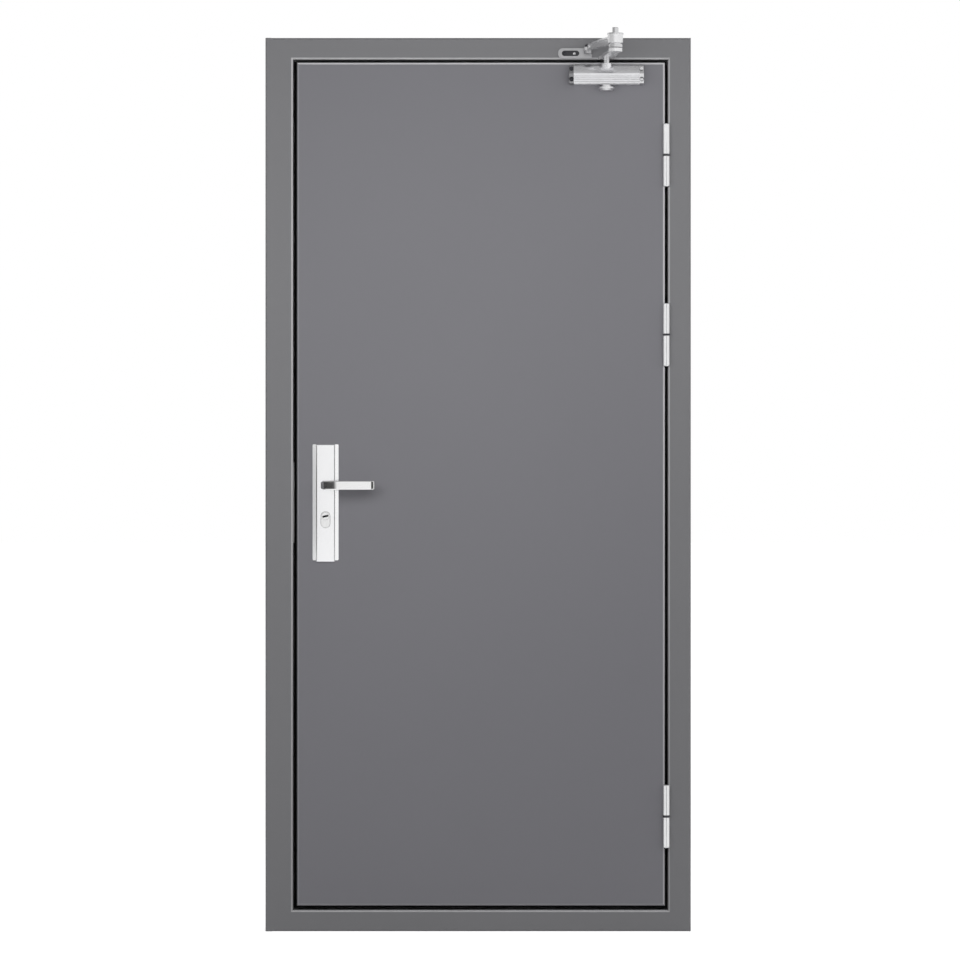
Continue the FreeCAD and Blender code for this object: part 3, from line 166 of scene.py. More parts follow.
# %% Tone drift group
tone_drift, entry, leave = new_group(
    "tone_drift",
    [("Color", COLOUR, (0.5, 0.5, 0.5, 1.0)), ("Drift", NUMBER, 0.04),
     ("Patch Size", NUMBER, 0.3)],
    [("Color", COLOUR)])
patch = put(tone_drift, "ShaderNodeTexNoise",
            {"Vector": object_place(tone_drift), "Detail": 3.0, "Roughness": 0.55,
             "Scale": math_step(tone_drift, "DIVIDE", 1.0, entry["Patch Size"])})
centred = math_step(tone_drift, "SUBTRACT", patch.outputs["Fac"], 0.5)
gain = math_step(tone_drift, "MULTIPLY_ADD", centred, entry["Drift"])
gain.node.inputs[2].default_value = 1.0
tinted = put(tone_drift, "ShaderNodeVectorMath", {0: entry["Color"]}, operation="SCALE")
tone_drift.links.new(gain, tinted.inputs["Scale"])
tone_drift.links.new(tinted.outputs["Vector"], leave.inputs["Color"])
print("group made:", tone_drift.name)

# %% [markdown]
# ## Brushed grain
# Satin steel is rubbed in one direction with an abrasive belt, which leaves hair-fine lines
# along the rub. Stretching one noise hard along a chosen direction gives those lines, and
# the same value drives bump, roughness and a trace of colour, so they agree with each other.

# %% Brushed grain group
brushed_grain, entry, leave = new_group(
    "brushed_grain",
    [("Stretch", DIRECTION, (1.0, 1.0, 0.02)), ("Line Size", NUMBER, 0.0006)],
    [("Height", NUMBER), ("Streaks", NUMBER)])
drawn = put(brushed_grain, "ShaderNodeVectorMath",
            {0: object_place(brushed_grain), 1: entry["Stretch"]}, operation="MULTIPLY")
lines = put(brushed_grain, "ShaderNodeTexNoise",
            {"Vector": drawn.outputs["Vector"], "Detail": 3.0, "Roughness": 0.65,
             "Scale": math_step(brushed_grain, "DIVIDE", 1.0, entry["Line Size"])})
brushed_grain.links.new(lines.outputs["Fac"], leave.inputs["Height"])
brushed_grain.links.new(remap(brushed_grain, lines.outputs["Fac"], 0.3, 0.7),
                        leave.inputs["Streaks"])
print("group made:", brushed_grain.name)

# %% [markdown]
# ## Edge wear and painted edge light
# An edge mask tints the rims of pieces. On rubber and board it is wear. On paint its paler
# colour is partly wear and partly painted highlight, on metal it is painted highlight, and
# round the lock cylinder's rims its darker colour is painted shade. The Bevel node compares
# the true normal with one rounded over a small radius, so the mask is found from the shape
# itself, and a noise breaks it up so that no edge is evenly toned.

# %% Edge wear and painted edge light group
edge_wear_and_shading, entry, leave = new_group(
    "edge_wear_and_shading",
    [("Radius", NUMBER, 0.001), ("Break Size", NUMBER, 0.01), ("Amount", NUMBER, 0.5)],
    [("Mask", NUMBER)])
true_normal = put(edge_wear_and_shading, "ShaderNodeNewGeometry").outputs["Normal"]
rounded = put(edge_wear_and_shading, "ShaderNodeBevel", {"Radius": entry["Radius"]}, samples=4)
agree = put(edge_wear_and_shading, "ShaderNodeVectorMath",
            {0: true_normal, 1: rounded.outputs["Normal"]}, operation="DOT_PRODUCT")
edge = remap(edge_wear_and_shading, agree.outputs["Value"], 0.995, 0.90)
breaks = put(edge_wear_and_shading, "ShaderNodeTexNoise",
             {"Vector": object_place(edge_wear_and_shading),
              "Detail": 4.0, "Roughness": 0.6,
              "Scale": math_step(edge_wear_and_shading, "DIVIDE", 1.0, entry["Break Size"])})
uneven = remap(edge_wear_and_shading, breaks.outputs["Fac"], 0.35, 0.65, 0.35, 1.0)
mask = math_step(edge_wear_and_shading, "MULTIPLY", math_step(edge_wear_and_shading, "MULTIPLY", edge, uneven),
                 entry["Amount"])
edge_wear_and_shading.links.new(mask, leave.inputs["Mask"])
print("group made:", edge_wear_and_shading.name)

# %% [markdown]
# ## Painted highlights along the folds
# The folds of the frame and the leaf catch the light as thin pale lines, and that highlight is
# painted into the colour here. On flat sheet the normal points along one of the door's own
# axes, so a normal that leans between two of them marks a fold. The painted highlight is
# brightest on folds that look up or towards the hinge side, which the two biases give. Low on
# the uprights the painted line fades.

# %% Painted fold highlights group
fold_highlights, entry, leave = new_group(
    "fold_highlights",
    [("Hinge Side Bias", NUMBER, 0.5), ("Upward Bias", NUMBER, 0.15), ("Amount", NUMBER, 0.75),
     ("Low Fade", NUMBER, 0.6)],
    [("Mask", NUMBER)])
lean = split(fold_highlights, put(fold_highlights, "ShaderNodeTexCoord").outputs["Normal"])
sizes = [math_step(fold_highlights, "ABSOLUTE", lean[axis]) for axis in "XYZ"]
straight = math_step(fold_highlights, "MAXIMUM", math_step(fold_highlights, "MAXIMUM", *sizes[:2]),
                     sizes[2])
folded = remap(fold_highlights, straight, 0.9985, 0.985)
fold_side_light = math_step(fold_highlights, "MULTIPLY_ADD", lean["X"], entry["Hinge Side Bias"])
fold_highlights.links.new(entry["Amount"], fold_side_light.node.inputs[2])
raised = math_step(fold_highlights, "MULTIPLY_ADD", lean["Z"], entry["Upward Bias"])
fold_highlights.links.new(fold_side_light, raised.node.inputs[2])
kept = remap(fold_highlights, raised, 0.1, 1.0, 0.1, 1.0, smooth=False)
height = split(fold_highlights, object_place(fold_highlights))["Z"]
low_down = math_step(fold_highlights, "MULTIPLY", remap(fold_highlights, height, 0.2, 1.5, 1.0, 0.0),
                     entry["Low Fade"])
faded = math_step(fold_highlights, "SUBTRACT", 1.0,
                  math_step(fold_highlights, "MULTIPLY", low_down, sizes[0]), clamp=True)
mask = math_step(fold_highlights, "MULTIPLY", math_step(fold_highlights, "MULTIPLY", folded, kept), faded)
fold_highlights.links.new(mask, leave.inputs["Mask"])
print("group made:", fold_highlights.name)

# %% [markdown]
# ## Settled dust
# A little dust lies on faces that look up, even on a clean door. The mask grows with the
# upward part of the normal and a noise thins it out. It lightens and roughens, no more.

# %% Settled dust group
settled_dust, entry, leave = new_group(
    "settled_dust",
    [("Amount", NUMBER, 0.3), ("Grain Size", NUMBER, 0.004)],
    [("Mask", NUMBER)])
facing = split(settled_dust, put(settled_dust, "ShaderNodeNewGeometry").outputs["Normal"])
upward = remap(settled_dust, facing["Z"], 0.55, 0.98)
grains = put(settled_dust, "ShaderNodeTexNoise",
             {"Vector": object_place(settled_dust),
              "Detail": 6.0, "Roughness": 0.7,
              "Scale": math_step(settled_dust, "DIVIDE", 1.0, entry["Grain Size"])})
thin = remap(settled_dust, grains.outputs["Fac"], 0.35, 0.75)
mask = math_step(settled_dust, "MULTIPLY", math_step(settled_dust, "MULTIPLY", upward, thin),
                 entry["Amount"])
settled_dust.links.new(mask, leave.inputs["Mask"])
print("group made:", settled_dust.name)

# %% [markdown]
# ## One frame for every finish
# All finishes end in the same Principled shader, with rubbed edges and dust laid over a
# base colour, and a bump from one height. The parts that differ, such as grain or peel,
# come in as sockets. Numbers that are the same all over sit on the shader itself.

# %% Finish builder
dust_colour = (0.42, 0.41, 0.39)
dust_roughens = 0.3
finishes = {}


def start_finish(name):
    """An empty material that ends in a Principled shader."""
    material = bpy.data.materials.new(name)
    material.use_nodes = True
    tree = material.node_tree
    tree.nodes.clear()
    end = put(tree, "ShaderNodeOutputMaterial")
    shader = put(tree, "ShaderNodeBsdfPrincipled")
    tree.links.new(shader.outputs["BSDF"], end.inputs["Surface"])
    return material, tree, shader


def tone(tree, first, second, share):
    """Mix two colours or colour sockets by a share."""
    made = put(tree, "ShaderNodeMix", data_type="RGBA")
    for index, value in ((0, share), (6, first), (7, second)):
        if isinstance(value, bpy.types.NodeSocket):
            tree.links.new(value, made.inputs[index])
        elif index == 0:
            made.inputs[index].default_value = value
        else:
            made.inputs[index].default_value = tuple(value) + (1.0,)
    return made.outputs[2]


def bump(tree, shader, height, depth):
    """Feed a height of so many metres into the shader's normal."""
    made = put(tree, "ShaderNodeBump", {"Height": height, "Distance": depth, "Strength": 1.0})
    tree.links.new(made.outputs["Normal"], shader.inputs["Normal"])


def dress_surface(tree, shader, colour, roughness, edge_colour, edge_amount, dust_amount,
                  edge_radius=1 * mm):
    """Lay an edge tone and dust over a colour and a roughness, and feed the shader; each finish's
    edge colour makes the edge tone wear, painted highlight or painted shade.
    """
    edges = use_group(tree, edge_wear_and_shading, {"Radius": edge_radius, "Break Size": 8 * mm,
                                           "Amount": edge_amount})["Mask"]
    dust = use_group(tree, settled_dust, {"Amount": dust_amount, "Grain Size": 5 * mm})["Mask"]
    edge_toned = tone(tree, colour, edge_colour, edges)
    dusted = tone(tree, edge_toned, dust_colour, dust)
    tree.links.new(dusted, shader.inputs["Base Color"])
    rougher = math_step(tree, "MULTIPLY_ADD", dust, dust_roughens)
    if isinstance(roughness, bpy.types.NodeSocket):
        tree.links.new(roughness, rougher.node.inputs[2])
    else:
        rougher.node.inputs[2].default_value = roughness
    tree.links.new(rougher, shader.inputs["Roughness"])


print("dust colour", dust_colour)

# %% [markdown]
# ## Grey powder coat on the frame and the leaf
# The frame and both skins of the leaf are zinc-coated sheet under a semi-matte cool grey
# powder coat. It is a plain dielectric: a mid-grey base, medium roughness with a faint
# speckle, and a shallow peel. Frame and leaf come from two batches, so they differ a hair.
# The folds round the doorway get a painted highlight, which the frame's outer rim and its foot go
# without.

# %% Powder coat finishes
rim_side, rim_top, rim_foot = 0.49, 2.09, 0.01
rim_blend = 2 * mm
# Paler grey at the paint's edges: partly wear, partly painted highlight.
edge_wear_and_highlight = (0.26, 0.26, 0.27)
smoothest, roughest = 0.44, 0.50
peel_depth = 0.05 * mm


def powder_coat(name, colour, fold_highlight_colour, side_bias, upward_bias, amount):
    """Sprayed and baked coat with painted highlights along its folds; the last three steer them.
    """
    material, tree, shader = start_finish(name)
    drift = use_group(tree, tone_drift, {"Color": tuple(colour) + (1.0,), "Drift": 0.05,
                                         "Patch Size": 0.35})
    peel = use_group(tree, orange_peel, {"Peel Size": 1.4 * mm, "Wave Size": 11 * mm,
                                         "Wave Share": 0.45})
    flecked = tone(tree, drift["Color"], tuple(c * 1.05 for c in colour),
                   math_step(tree, "MULTIPLY", peel["Speckle"], 0.35))
    # Painted highlight along the folds, kept off the frame's outer rim, its top and its foot.
    folds = use_group(tree, fold_highlights, {"Hinge Side Bias": side_bias,
                                         "Upward Bias": upward_bias, "Amount": amount,
                                         "Low Fade": 0.9})["Mask"]
    spot = split(tree, object_place(tree))
    across = remap(tree, math_step(tree, "ABSOLUTE", spot["X"]),
                   rim_side - rim_blend, rim_side + rim_blend, 1.0, 0.0)
    below_top = remap(tree, spot["Z"], rim_top - rim_blend, rim_top + rim_blend, 1.0, 0.0)
    above_floor = remap(tree, spot["Z"], rim_foot - rim_blend, rim_foot + rim_blend)
    inner = math_step(tree, "MULTIPLY", across,
                      math_step(tree, "MULTIPLY", below_top, above_floor))
    fold_highlighted = tone(tree, flecked, fold_highlight_colour, math_step(tree, "MULTIPLY", folds, inner))
    roughness = remap(tree, peel["Speckle"], 0.0, 1.0, smoothest, roughest, smooth=False)
    dress_surface(tree, shader, fold_highlighted, roughness, edge_wear_and_highlight, edge_amount=0.25,
                  dust_amount=0.05)
    bump(tree, shader, peel["Height"], peel_depth)
    shader.inputs["IOR"].default_value = 1.45
    return material


finishes["frame_paint"] = powder_coat("frame_powder_coat", (0.197, 0.197, 0.206),
                                      (0.62, 0.62, 0.63), side_bias=0.25,
                                      upward_bias=0.0, amount=0.64)
finishes["leaf_paint"] = powder_coat("leaf_powder_coat", (0.196, 0.194, 0.213),
                                     (0.76, 0.76, 0.78), side_bias=0.6,
                                     upward_bias=0.85, amount=0.4)
print("powder coats ready")

# %% [markdown]
# ## Satin and plated steels
# Handle, lock faceplate and bolts are bare metal, so they are fully metallic. The hinges and
# the closer have a clear or silver film over the metal, so part of their shine is the film's.
# Brush lines follow the way that a piece was rubbed: up the plates and hinges, along the
# lever and the closer. One function makes them all from those choices.

# %% Metal finish function
grain_depth = 0.006 * mm
painted_shade_colour = (0.05, 0.05, 0.055)


def satin_metal(name, colour, roughness, stretch, line_size=0.5 * mm, edge_gain=1.1,
                metallic=1.0, sunk=None, crown=None):
    """Brushed or lacquered metal.

    sunk is a function that gives a mask of hollows painted dark as shade, crown one that gives a
    height.
    """
    material, tree, shader = start_finish(name)
    drift = use_group(tree, tone_drift, {"Color": tuple(colour) + (1.0,), "Drift": 0.06,
                                         "Patch Size": 0.08})
    grain = use_group(tree, brushed_grain, {"Stretch": stretch, "Line Size": line_size})
    streaked = tone(tree, drift["Color"], tuple(c * 0.9 for c in colour),
                    math_step(tree, "MULTIPLY", grain["Streaks"], 0.5))
    if sunk is not None:
        # Hollows from sunk are painted dark: painted shade.
        streaked = tone(tree, streaked, painted_shade_colour, sunk(tree))
    uneven = remap(tree, grain["Streaks"], 0.0, 1.0, roughness * 0.85, roughness * 1.2,
                   smooth=False)
    # edge_gain pales the rims' colour: a painted highlight.
    edge = tuple(min(1.0, c * edge_gain) for c in colour)
    dress_surface(tree, shader, streaked, uneven, edge, edge_amount=0.5, dust_amount=0.03,
                  edge_radius=0.6 * mm)
    height = grain["Height"]
    if crown is not None:
        height = math_step(tree, "ADD", height,
                           math_step(tree, "DIVIDE", crown(tree), grain_depth))
    bump(tree, shader, height, grain_depth)
    shader.inputs["Metallic"].default_value = metallic
    return material


along_x = (0.015, 1.0, 1.0)
along_z = (1.0, 1.0, 0.015)
cast = (1.0, 1.0, 1.0)
print("grain", grain_depth / mm, "mm deep")

# %% [markdown]
# ## Steel of the handle, the hinges and the lock
# The handle's long plate is pressed, and its side bands fall away from the flat middle by a
# few degrees, the left one more. That is too little for a solid, but it turns the left band
# towards the dim side of the room. So it is given as a height, which tilts the normal there.

# %% Handle, hinge and lock steels
left_band, left_fall = 8.5 * mm, 0.58 * mm
right_band, right_fall = 9 * mm, 0.3 * mm


def plate_bands(tree):
    """How far the plate's two side bands fall off towards its edges."""
    low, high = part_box("handle_plate_front")
    across = split(tree, object_place(tree))["X"]
    left = remap(tree, across, low.x, low.x + left_band, 0.0, left_fall, smooth=False)
    right = remap(tree, across, high.x - right_band, high.x, 0.0, right_fall, smooth=False)
    return math_step(tree, "SUBTRACT", left, right)


finishes["handle_steel"] = satin_metal("plate_satin_steel", (0.94, 0.94, 0.95), 0.18, along_z,
                                       crown=plate_bands)
finishes["lever_steel"] = satin_metal("lever_satin_steel", (0.86, 0.86, 0.86), 0.16, along_x)
finishes["hinge_steel"] = satin_metal("hinge_satin_steel", (0.87, 0.87, 0.88), 0.14, along_z,
                                      metallic=0.6)
finishes["satin_steel"] = satin_metal("lock_satin_steel", (0.34, 0.34, 0.34), 0.36, along_z)
finishes["zinc_steel"] = satin_metal("zinc_plated_steel", (0.66, 0.66, 0.67), 0.20, cast,
                                     line_size=1.2 * mm)
# Dark steel stands for shade: painted shade on the hinge washers, the left cap's screws and the
# shoe's outer screw.
finishes["dark_steel"] = satin_metal("shade_dark_steel", (0.07, 0.07, 0.08), 0.35, cast,
                                     line_size=1.2 * mm)
print("steels ready:", len(finishes) - 2)

# %% [markdown]
# ## Silver of the closer
# The closer is cast and extruded alloy under silver lacquer. The floors of the flutes along
# its body and of the hollow in its shoe are painted darker as shade. A box in the door's own
# space, read from the imported pieces, marks each of them.

# %% Closer finishes
def in_box(tree, low, high, soft=0.3 * mm):
    """1 inside a box given by two corners in the door's own space, in metres."""
    spot = split(tree, object_place(tree))
    inside = None
    for axis, first, last in zip("XYZ", low, high):
        middle, half = (first + last) / 2, (last - first) / 2
        off = math_step(tree, "ABSOLUTE", math_step(tree, "SUBTRACT", spot[axis], middle))
        share = remap(tree, off, half - soft / 2, half + soft / 2, 1.0, 0.0)
        inside = share if inside is None else math_step(tree, "MULTIPLY", inside, share)
    return inside


def flutes(tree):
    """The four flutes along the closer's front, whose floors lie behind its face and are painted
    darker as shade.
    """
    low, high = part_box("closer_body")
    lip, floor, lowest, highest, flute_shade = 0.2 * mm, 1.0 * mm, 5 * mm, 21 * mm, 0.45
    inside = in_box(tree, (low.x, low.y + lip, low.z + lowest),
                    (high.x, low.y + floor, low.z + highest), soft=0.1 * mm)
    return math_step(tree, "MULTIPLY", inside, flute_shade)


def shoe_hollow(tree):
    """The hollow in the shoe's face, painted darker as shade."""
    low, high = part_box("closer_shoe")
    plate, start, end, lip, floor, half_tall = (c * mm for c in (6, 7, 52, 1, 4, 7))
    face = high.y - plate
    middle = (low.z + high.z) / 2
    return in_box(tree, (low.x + start, face + lip, middle - half_tall),
                  (low.x + end, face + floor, middle + half_tall))


finishes["arm_grey"] = satin_metal("grey_arm_lacquer", (0.82, 0.82, 0.83), 0.22, cast,
                                   line_size=1.5 * mm, metallic=0.7)
finishes["closer_silver"] = satin_metal("silver_body_lacquer", (0.82, 0.82, 0.84), 0.24,
                                        along_x, line_size=0.8 * mm, metallic=0.9,
                                        sunk=flutes)
# The shoe's edge_gain of 1.6 paints a strong highlight round its rims.
finishes["arm_silver"] = satin_metal("silver_shoe_lacquer", (0.44, 0.44, 0.45), 0.34, cast,
                                     line_size=1.5 * mm, edge_gain=1.6, metallic=0.7,
                                     sunk=shoe_hollow)
finishes["closer_cap_silver"] = satin_metal("silver_cap_lacquer", (0.78, 0.78, 0.79), 0.30,
                                            cast, line_size=1.5 * mm, metallic=0.8)
# The left cap's copy of the lacquer is darker: painted shade.
finishes["cap_shaded"] = satin_metal("shaded_cap_lacquer", (0.27, 0.27, 0.28), 0.38, cast,
                                     line_size=1.5 * mm, metallic=0.3)
print("metals ready:", len(finishes) - 2)

# %% [markdown]
# ## Nickel lock cylinder with a black keyway
# The cylinder is satin nickel, turned on its end face. Light hardly reaches the floor of the
# keyway, so whatever lies deeper than the plug's face is painted near black as shade, and
# the rims get a dark edge colour, painted shade too. The depth is read in object space, on
# both faces of the door.

# %% Cylinder finish
cylinder_low, cylinder_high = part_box("key_cylinder")
material, tree, shader = start_finish("cylinder_satin_nickel")
spin = use_group(tree, brushed_grain, {"Stretch": (1.0, 1.0, 1.0), "Line Size": 0.9 * mm})
drift = use_group(tree, tone_drift, {"Color": (0.86, 0.86, 0.86, 1.0), "Drift": 0.06,
                                     "Patch Size": 0.03})
depth_in = split(tree, object_place(tree))["Y"]
middle = (cylinder_low.y + cylinder_high.y) / 2
half_long = (cylinder_high.y - cylinder_low.y) / 2
from_middle = math_step(tree, "ABSOLUTE", math_step(tree, "SUBTRACT", depth_in, middle))
plug_face, keyway_dark = 0.15 * mm, 0.7 * mm
deep = remap(tree, from_middle, half_long - plug_face, half_long - keyway_dark)
blackened = tone(tree, drift["Color"], (0.012, 0.012, 0.014), deep)
# Painted shade: near black below the plug's face, dark round the rims.
dress_surface(tree, shader, blackened,
              remap(tree, spin["Streaks"], 0.0, 1.0, 0.22, 0.30, smooth=False),
              (0.22, 0.22, 0.23), edge_amount=0.9, dust_amount=0.02, edge_radius=1.1 * mm)
bump(tree, shader, spin["Height"], 0.004 * mm)
shader.inputs["Metallic"].default_value = 1.0
finishes["cylinder_nickel"] = material
print("cylinder reaches", round(half_long * 2 / mm, 1), "mm through the leaf")

# %% [markdown]
# ## Black rubber and the hidden infill
# The seal is extruded rubber, matte black with a bloom that lightens it in patches. The
# leaf's infill board is seen only at the seam in its edge, so a dull mineral finish does.

# %% Rubber and board finishes
material, tree, shader = start_finish("black_rubber")
drift = use_group(tree, tone_drift, {"Color": (0.012, 0.012, 0.013, 1.0), "Drift": 0.5,
                                     "Patch Size": 0.05})
peel = use_group(tree, orange_peel, {"Peel Size": 0.8 * mm, "Wave Size": 6 * mm,
                                     "Wave Share": 0.3})
dress_surface(tree, shader, drift["Color"],
              remap(tree, peel["Speckle"], 0.0, 1.0, 0.62, 0.74, smooth=False),
              (0.03, 0.03, 0.03), edge_amount=0.3, dust_amount=0.08)
bump(tree, shader, peel["Height"], 0.04 * mm)
finishes["seal_rubber"] = material

material, tree, shader = start_finish("mineral_board")
drift = use_group(tree, tone_drift, {"Color": (0.34, 0.32, 0.27, 1.0), "Drift": 0.3,
                                     "Patch Size": 0.01})
peel = use_group(tree, orange_peel, {"Peel Size": 1.0 * mm, "Wave Size": 5 * mm,
                                     "Wave Share": 0.5})
dress_surface(tree, shader, drift["Color"], 0.85, (0.4, 0.38, 0.33), edge_amount=0.2,
              dust_amount=0.05)
bump(tree, shader, peel["Height"], 0.15 * mm)
finishes["core_infill"] = material
print("rubber and board ready")

# %% [markdown]
# ## Put the finishes on
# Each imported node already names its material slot, so a finish goes on by that name. The
# levers share a slot with their plates but were rubbed lengthwise, so they get their own.

# %% Assign the finishes
special = {"lever_front": "lever_steel", "lever_rear": "lever_steel",
           # The closer's left end cap takes the darker copy of the cap lacquer, painted shade.
           "closer_cap_left": "cap_shaded"}
for name, item in nodes.items():
    for held in item.material_slots:
        held.material = finishes[special.get(name, held.material.name)]
print("finishes on", len(nodes), "nodes")

# %% [markdown]
# ## Turned and pressed small pieces
# Screws and washers come off a lathe, so each is drawn as rings round an axis. The drive in a
# screw's head is pressed in with a punch: its ring follows a hexagon or a cross in place of a
# circle and then runs down to the floor of the hole. Corners stay sharp, rounds stay smooth.

# %% Turning tools
turned_sides = 72
sharp_from = math.radians(32)
nearly_nothing = 1e-6


def hexagon(across):
    """How far a hexagonal hole reaches at each angle."""
    step = math.radians(60)
    return lambda angle: across / 2 / math.cos((angle % step) - step / 2)


def cross_slot(reach, width):
    """How far a cross recess reaches at each angle."""
    def at(angle):
        c = max(abs(math.cos(angle)), nearly_nothing)
        s = max(abs(math.sin(angle)), nearly_nothing)
        level = min(reach / c, width / 2 / s)
        upright = min(width / 2 / c, reach / s)
        return max(level, upright)
    return at


def finish_piece(name, shape, finish, body, place=None, facing=None):
    """Turn a mesh drawn along +Z to face its way, put it in place and let it ride on a body."""
    bmesh.ops.recalc_face_normals(shape, faces=shape.faces[:])
    mesh = bpy.data.meshes.new(name)
    if place is not None:
        turn = Vector(facing).to_track_quat("Z", "Y").to_matrix().to_4x4()
        shape.transform(Matrix.Translation(Vector(place)) @ turn)
    shape.to_mesh(mesh)
    shape.free()
    mesh.polygons.foreach_set("use_smooth", [True] * len(mesh.polygons))
    mesh.set_sharp_from_angle(angle=sharp_from)
    piece = add_object(name, mesh)
    mesh.materials.append(finishes[finish])
    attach(piece, body)
    return piece


def turned(name, rings, finish, body, place, facing, bore=False):
    """A piece from (reach, height) rings; a reach is a radius or a function of the angle."""
    shape = bmesh.new()
    loops = []
    for reach, height in rings:
        loop = []
        for i in range(turned_sides):
            angle = math.tau * i / turned_sides
            out = reach(angle) if callable(reach) else reach
            loop.append(shape.verts.new((out * math.cos(angle), out * math.sin(angle), height)))
        loops.append(loop)
    pairs = list(zip(loops, loops[1:]))
    if bore:
        pairs.append((loops[-1], loops[0]))
    else:
        shape.faces.new(loops[0][::-1])
        shape.faces.new(loops[-1])
    for low, high in pairs:
        for i in range(turned_sides):
            j = (i + 1) % turned_sides
            shape.faces.new((low[i], low[j], high[j], high[i]))
    return finish_piece(name, shape, finish, body, place, facing)


def cap_screw(name, finish, body, place, facing, radius, height, across):
    """Cylindrical head with a hexagonal socket; its seat is at the place given."""
    rings = [(radius, 0.0), (radius, height - 0.5 * mm), (radius - 0.15 * mm, height - 0.15 * mm),
             (radius - 0.5 * mm, height), (across * 0.68, height), (hexagon(across), height),
             (hexagon(across), height - 2.5 * mm)]
    return turned(name, rings, finish, body, place, facing)


def raised_screw(name, finish, body, place, facing, radius):
    """Low domed head with a cross recess, sunk a little into the surface under it."""
    rings = [(radius, -0.3 * mm), (radius, 0.1 * mm), (radius * 0.93, 0.35 * mm),
             (radius * 0.80, 0.60 * mm), (radius * 0.62, 0.80 * mm),
             (cross_slot(radius * 0.50, radius * 0.22), 0.85 * mm),
             (cross_slot(radius * 0.36, radius * 0.14), 0.15 * mm)]
    return turned(name, rings, finish, body, place, facing)


print("turning", turned_sides, "sides")

# %% [markdown]
# ## Bearing washers in the hinges
# A lift-off hinge carries the leaf on a washer between its two knuckles. Here it is dark steel,
# whose black line across the barrel is painted shade of the split. Each is turned with a
# rounded rim and sits on the frame's knuckle, a hair wider than the barrel, so that the line
# stands out.

# %% Bearing washers
barrel = 8 * mm
split_half = 1.5 * mm
bore, rim, shoulder, half_thick, half_rim = 5.15 * mm, 8.5 * mm, 8.1 * mm, 1.3 * mm, 0.9 * mm
washer_rings = [(bore, -half_thick), (shoulder, -half_thick), (rim, -half_rim),
                (rim, half_rim), (shoulder, half_thick), (bore, half_thick)]
for where in ("lower", "middle", "upper"):
    low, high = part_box("hinge_leaf_" + where)
    hinge_axis_x, hinge_axis_y = high.x - barrel, low.y + barrel
    turned("bearing_washer_" + where, washer_rings, "dark_steel", "frame",
           (hinge_axis_x, hinge_axis_y, low.z - split_half), (0, 0, 1), bore=True)
print("hinge axis at", round(hinge_axis_x, 4), round(hinge_axis_y, 4))

# %% [markdown]
# ## Screws of the closer and its shoe
# Each end cap of the closer is held by two socket screws, sunk in the scallops that the cap
# leaves open. The shoe on the frame has two cross-recess screws in its long hollow. The
# right cap's screws and the screw by the ear are bright zinc; the left cap's screws and the
# shoe's other screw are dark steel as painted shade.

# %% Closer screws
scallop_floor, hollow_floor = -62 * mm, -53 * mm
closer_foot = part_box("closer_body")[0].z
screw_rises = (("low", 12.6 * mm), ("high", 38.4 * mm))
for side in ("left", "right"):
    low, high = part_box("closer_cap_" + side)
    for level, rise in screw_rises:
        # The left cap's screws are dark as painted shade.
        finish = "dark_steel" if side == "left" else "zinc_steel"
        cap_screw("cap_screw_%s_%s" % (side, level), finish, "leaf",
                  ((low.x + high.x) / 2, scallop_floor, closer_foot + rise), (0, -1, 0),
                  radius=4.5 * mm, height=18 * mm, across=4 * mm)
low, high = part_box("closer_shoe")
shoe_middle = (low.z + high.z) / 2
# The shoe's outer screw is dark as painted shade.
for name, x, finish in (("shoe_screw_inner", 226.0 * mm, "zinc_steel"),
                        ("shoe_screw_outer", 203.5 * mm, "dark_steel")):
    raised_screw(name, finish, "frame", (x, hollow_floor, shoe_middle), (0, -1, 0),
                 radius=3.4 * mm)
print("closer screws at", [round(closer_foot + rise, 4) for level, rise in screw_rises],
      "and shoe screws at", round(shoe_middle, 4))

# %% [markdown]
# ## Screws in the edges of the door
# With the leaf open, the hinge plates, the lock's faceplate and the strike show the screws
# that hold them. They are low raised heads, so that they clear the gap round the leaf.

# %% Edge screws
plate_out = 4 * mm
leaf_gap = 7 * mm
screw_shares = (0.16, 0.5, 0.84)
near_row, far_row = -37 * mm, -27 * mm
lock_inset, rear_foot_inset, rear_top_inset = 9 * mm, 18 * mm, 14 * mm
for where in ("lower", "middle", "upper"):
    for carrier, face, facing in (
            ("frame", hinge_axis_x + plate_out, -1),
            ("leaf", hinge_axis_x + plate_out - leaf_gap, 1)):
        low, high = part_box("hinge_%s_%s" % (carrier, where))
        bottom, top = low.z, high.z
        if carrier == "frame":
            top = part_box("hinge_leaf_" + where)[0].z
        for i, share in enumerate(screw_shares):
            depth = far_row if i == 1 else near_row
            raised_screw("hinge_screw_%s_%s_%d" % (carrier, where, i), "satin_steel",
                         carrier, (face, depth, bottom + (top - bottom) * share),
                         (facing, 0, 0), radius=3.6 * mm)
for node, body, facing in (("lock_faceplate", "leaf", -1), ("strike_plate", "frame", 1)):
    low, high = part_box(node)
    face = low.x if facing < 0 else high.x
    for i, height in enumerate((low.z + lock_inset, high.z - lock_inset)):
        raised_screw("%s_screw_%d" % (node, i), "zinc_steel", body,
                     (face, (low.y + high.y) / 2, height), (facing, 0, 0),
                     radius=3.4 * mm)
low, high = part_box("handle_plate_rear")
for i, height in enumerate((low.z + rear_foot_inset, high.z - rear_top_inset)):
    raised_screw("rear_plate_screw_%d" % i, "zinc_steel", "leaf",
                 ((low.x + high.x) / 2, high.y, height), (0, 1, 0), radius=3.8 * mm)
print("edge screws set")

# %% [markdown]
# ## Rubber seal round the rebate
# The seal is one extruded rubber profile, pressed on the frame's stop and mitred at the four
# corners: a flat foot from the rebate's wall to the stop's edge, a soft bulb that the leaf
# closes on, and a small lip in the gap. It is drawn as a section swept round the rectangle,
# because a bulb and a lip are what an open door shows of a seal. Each point of the section
# is its distance in from the rebate's wall and its height off the stop.

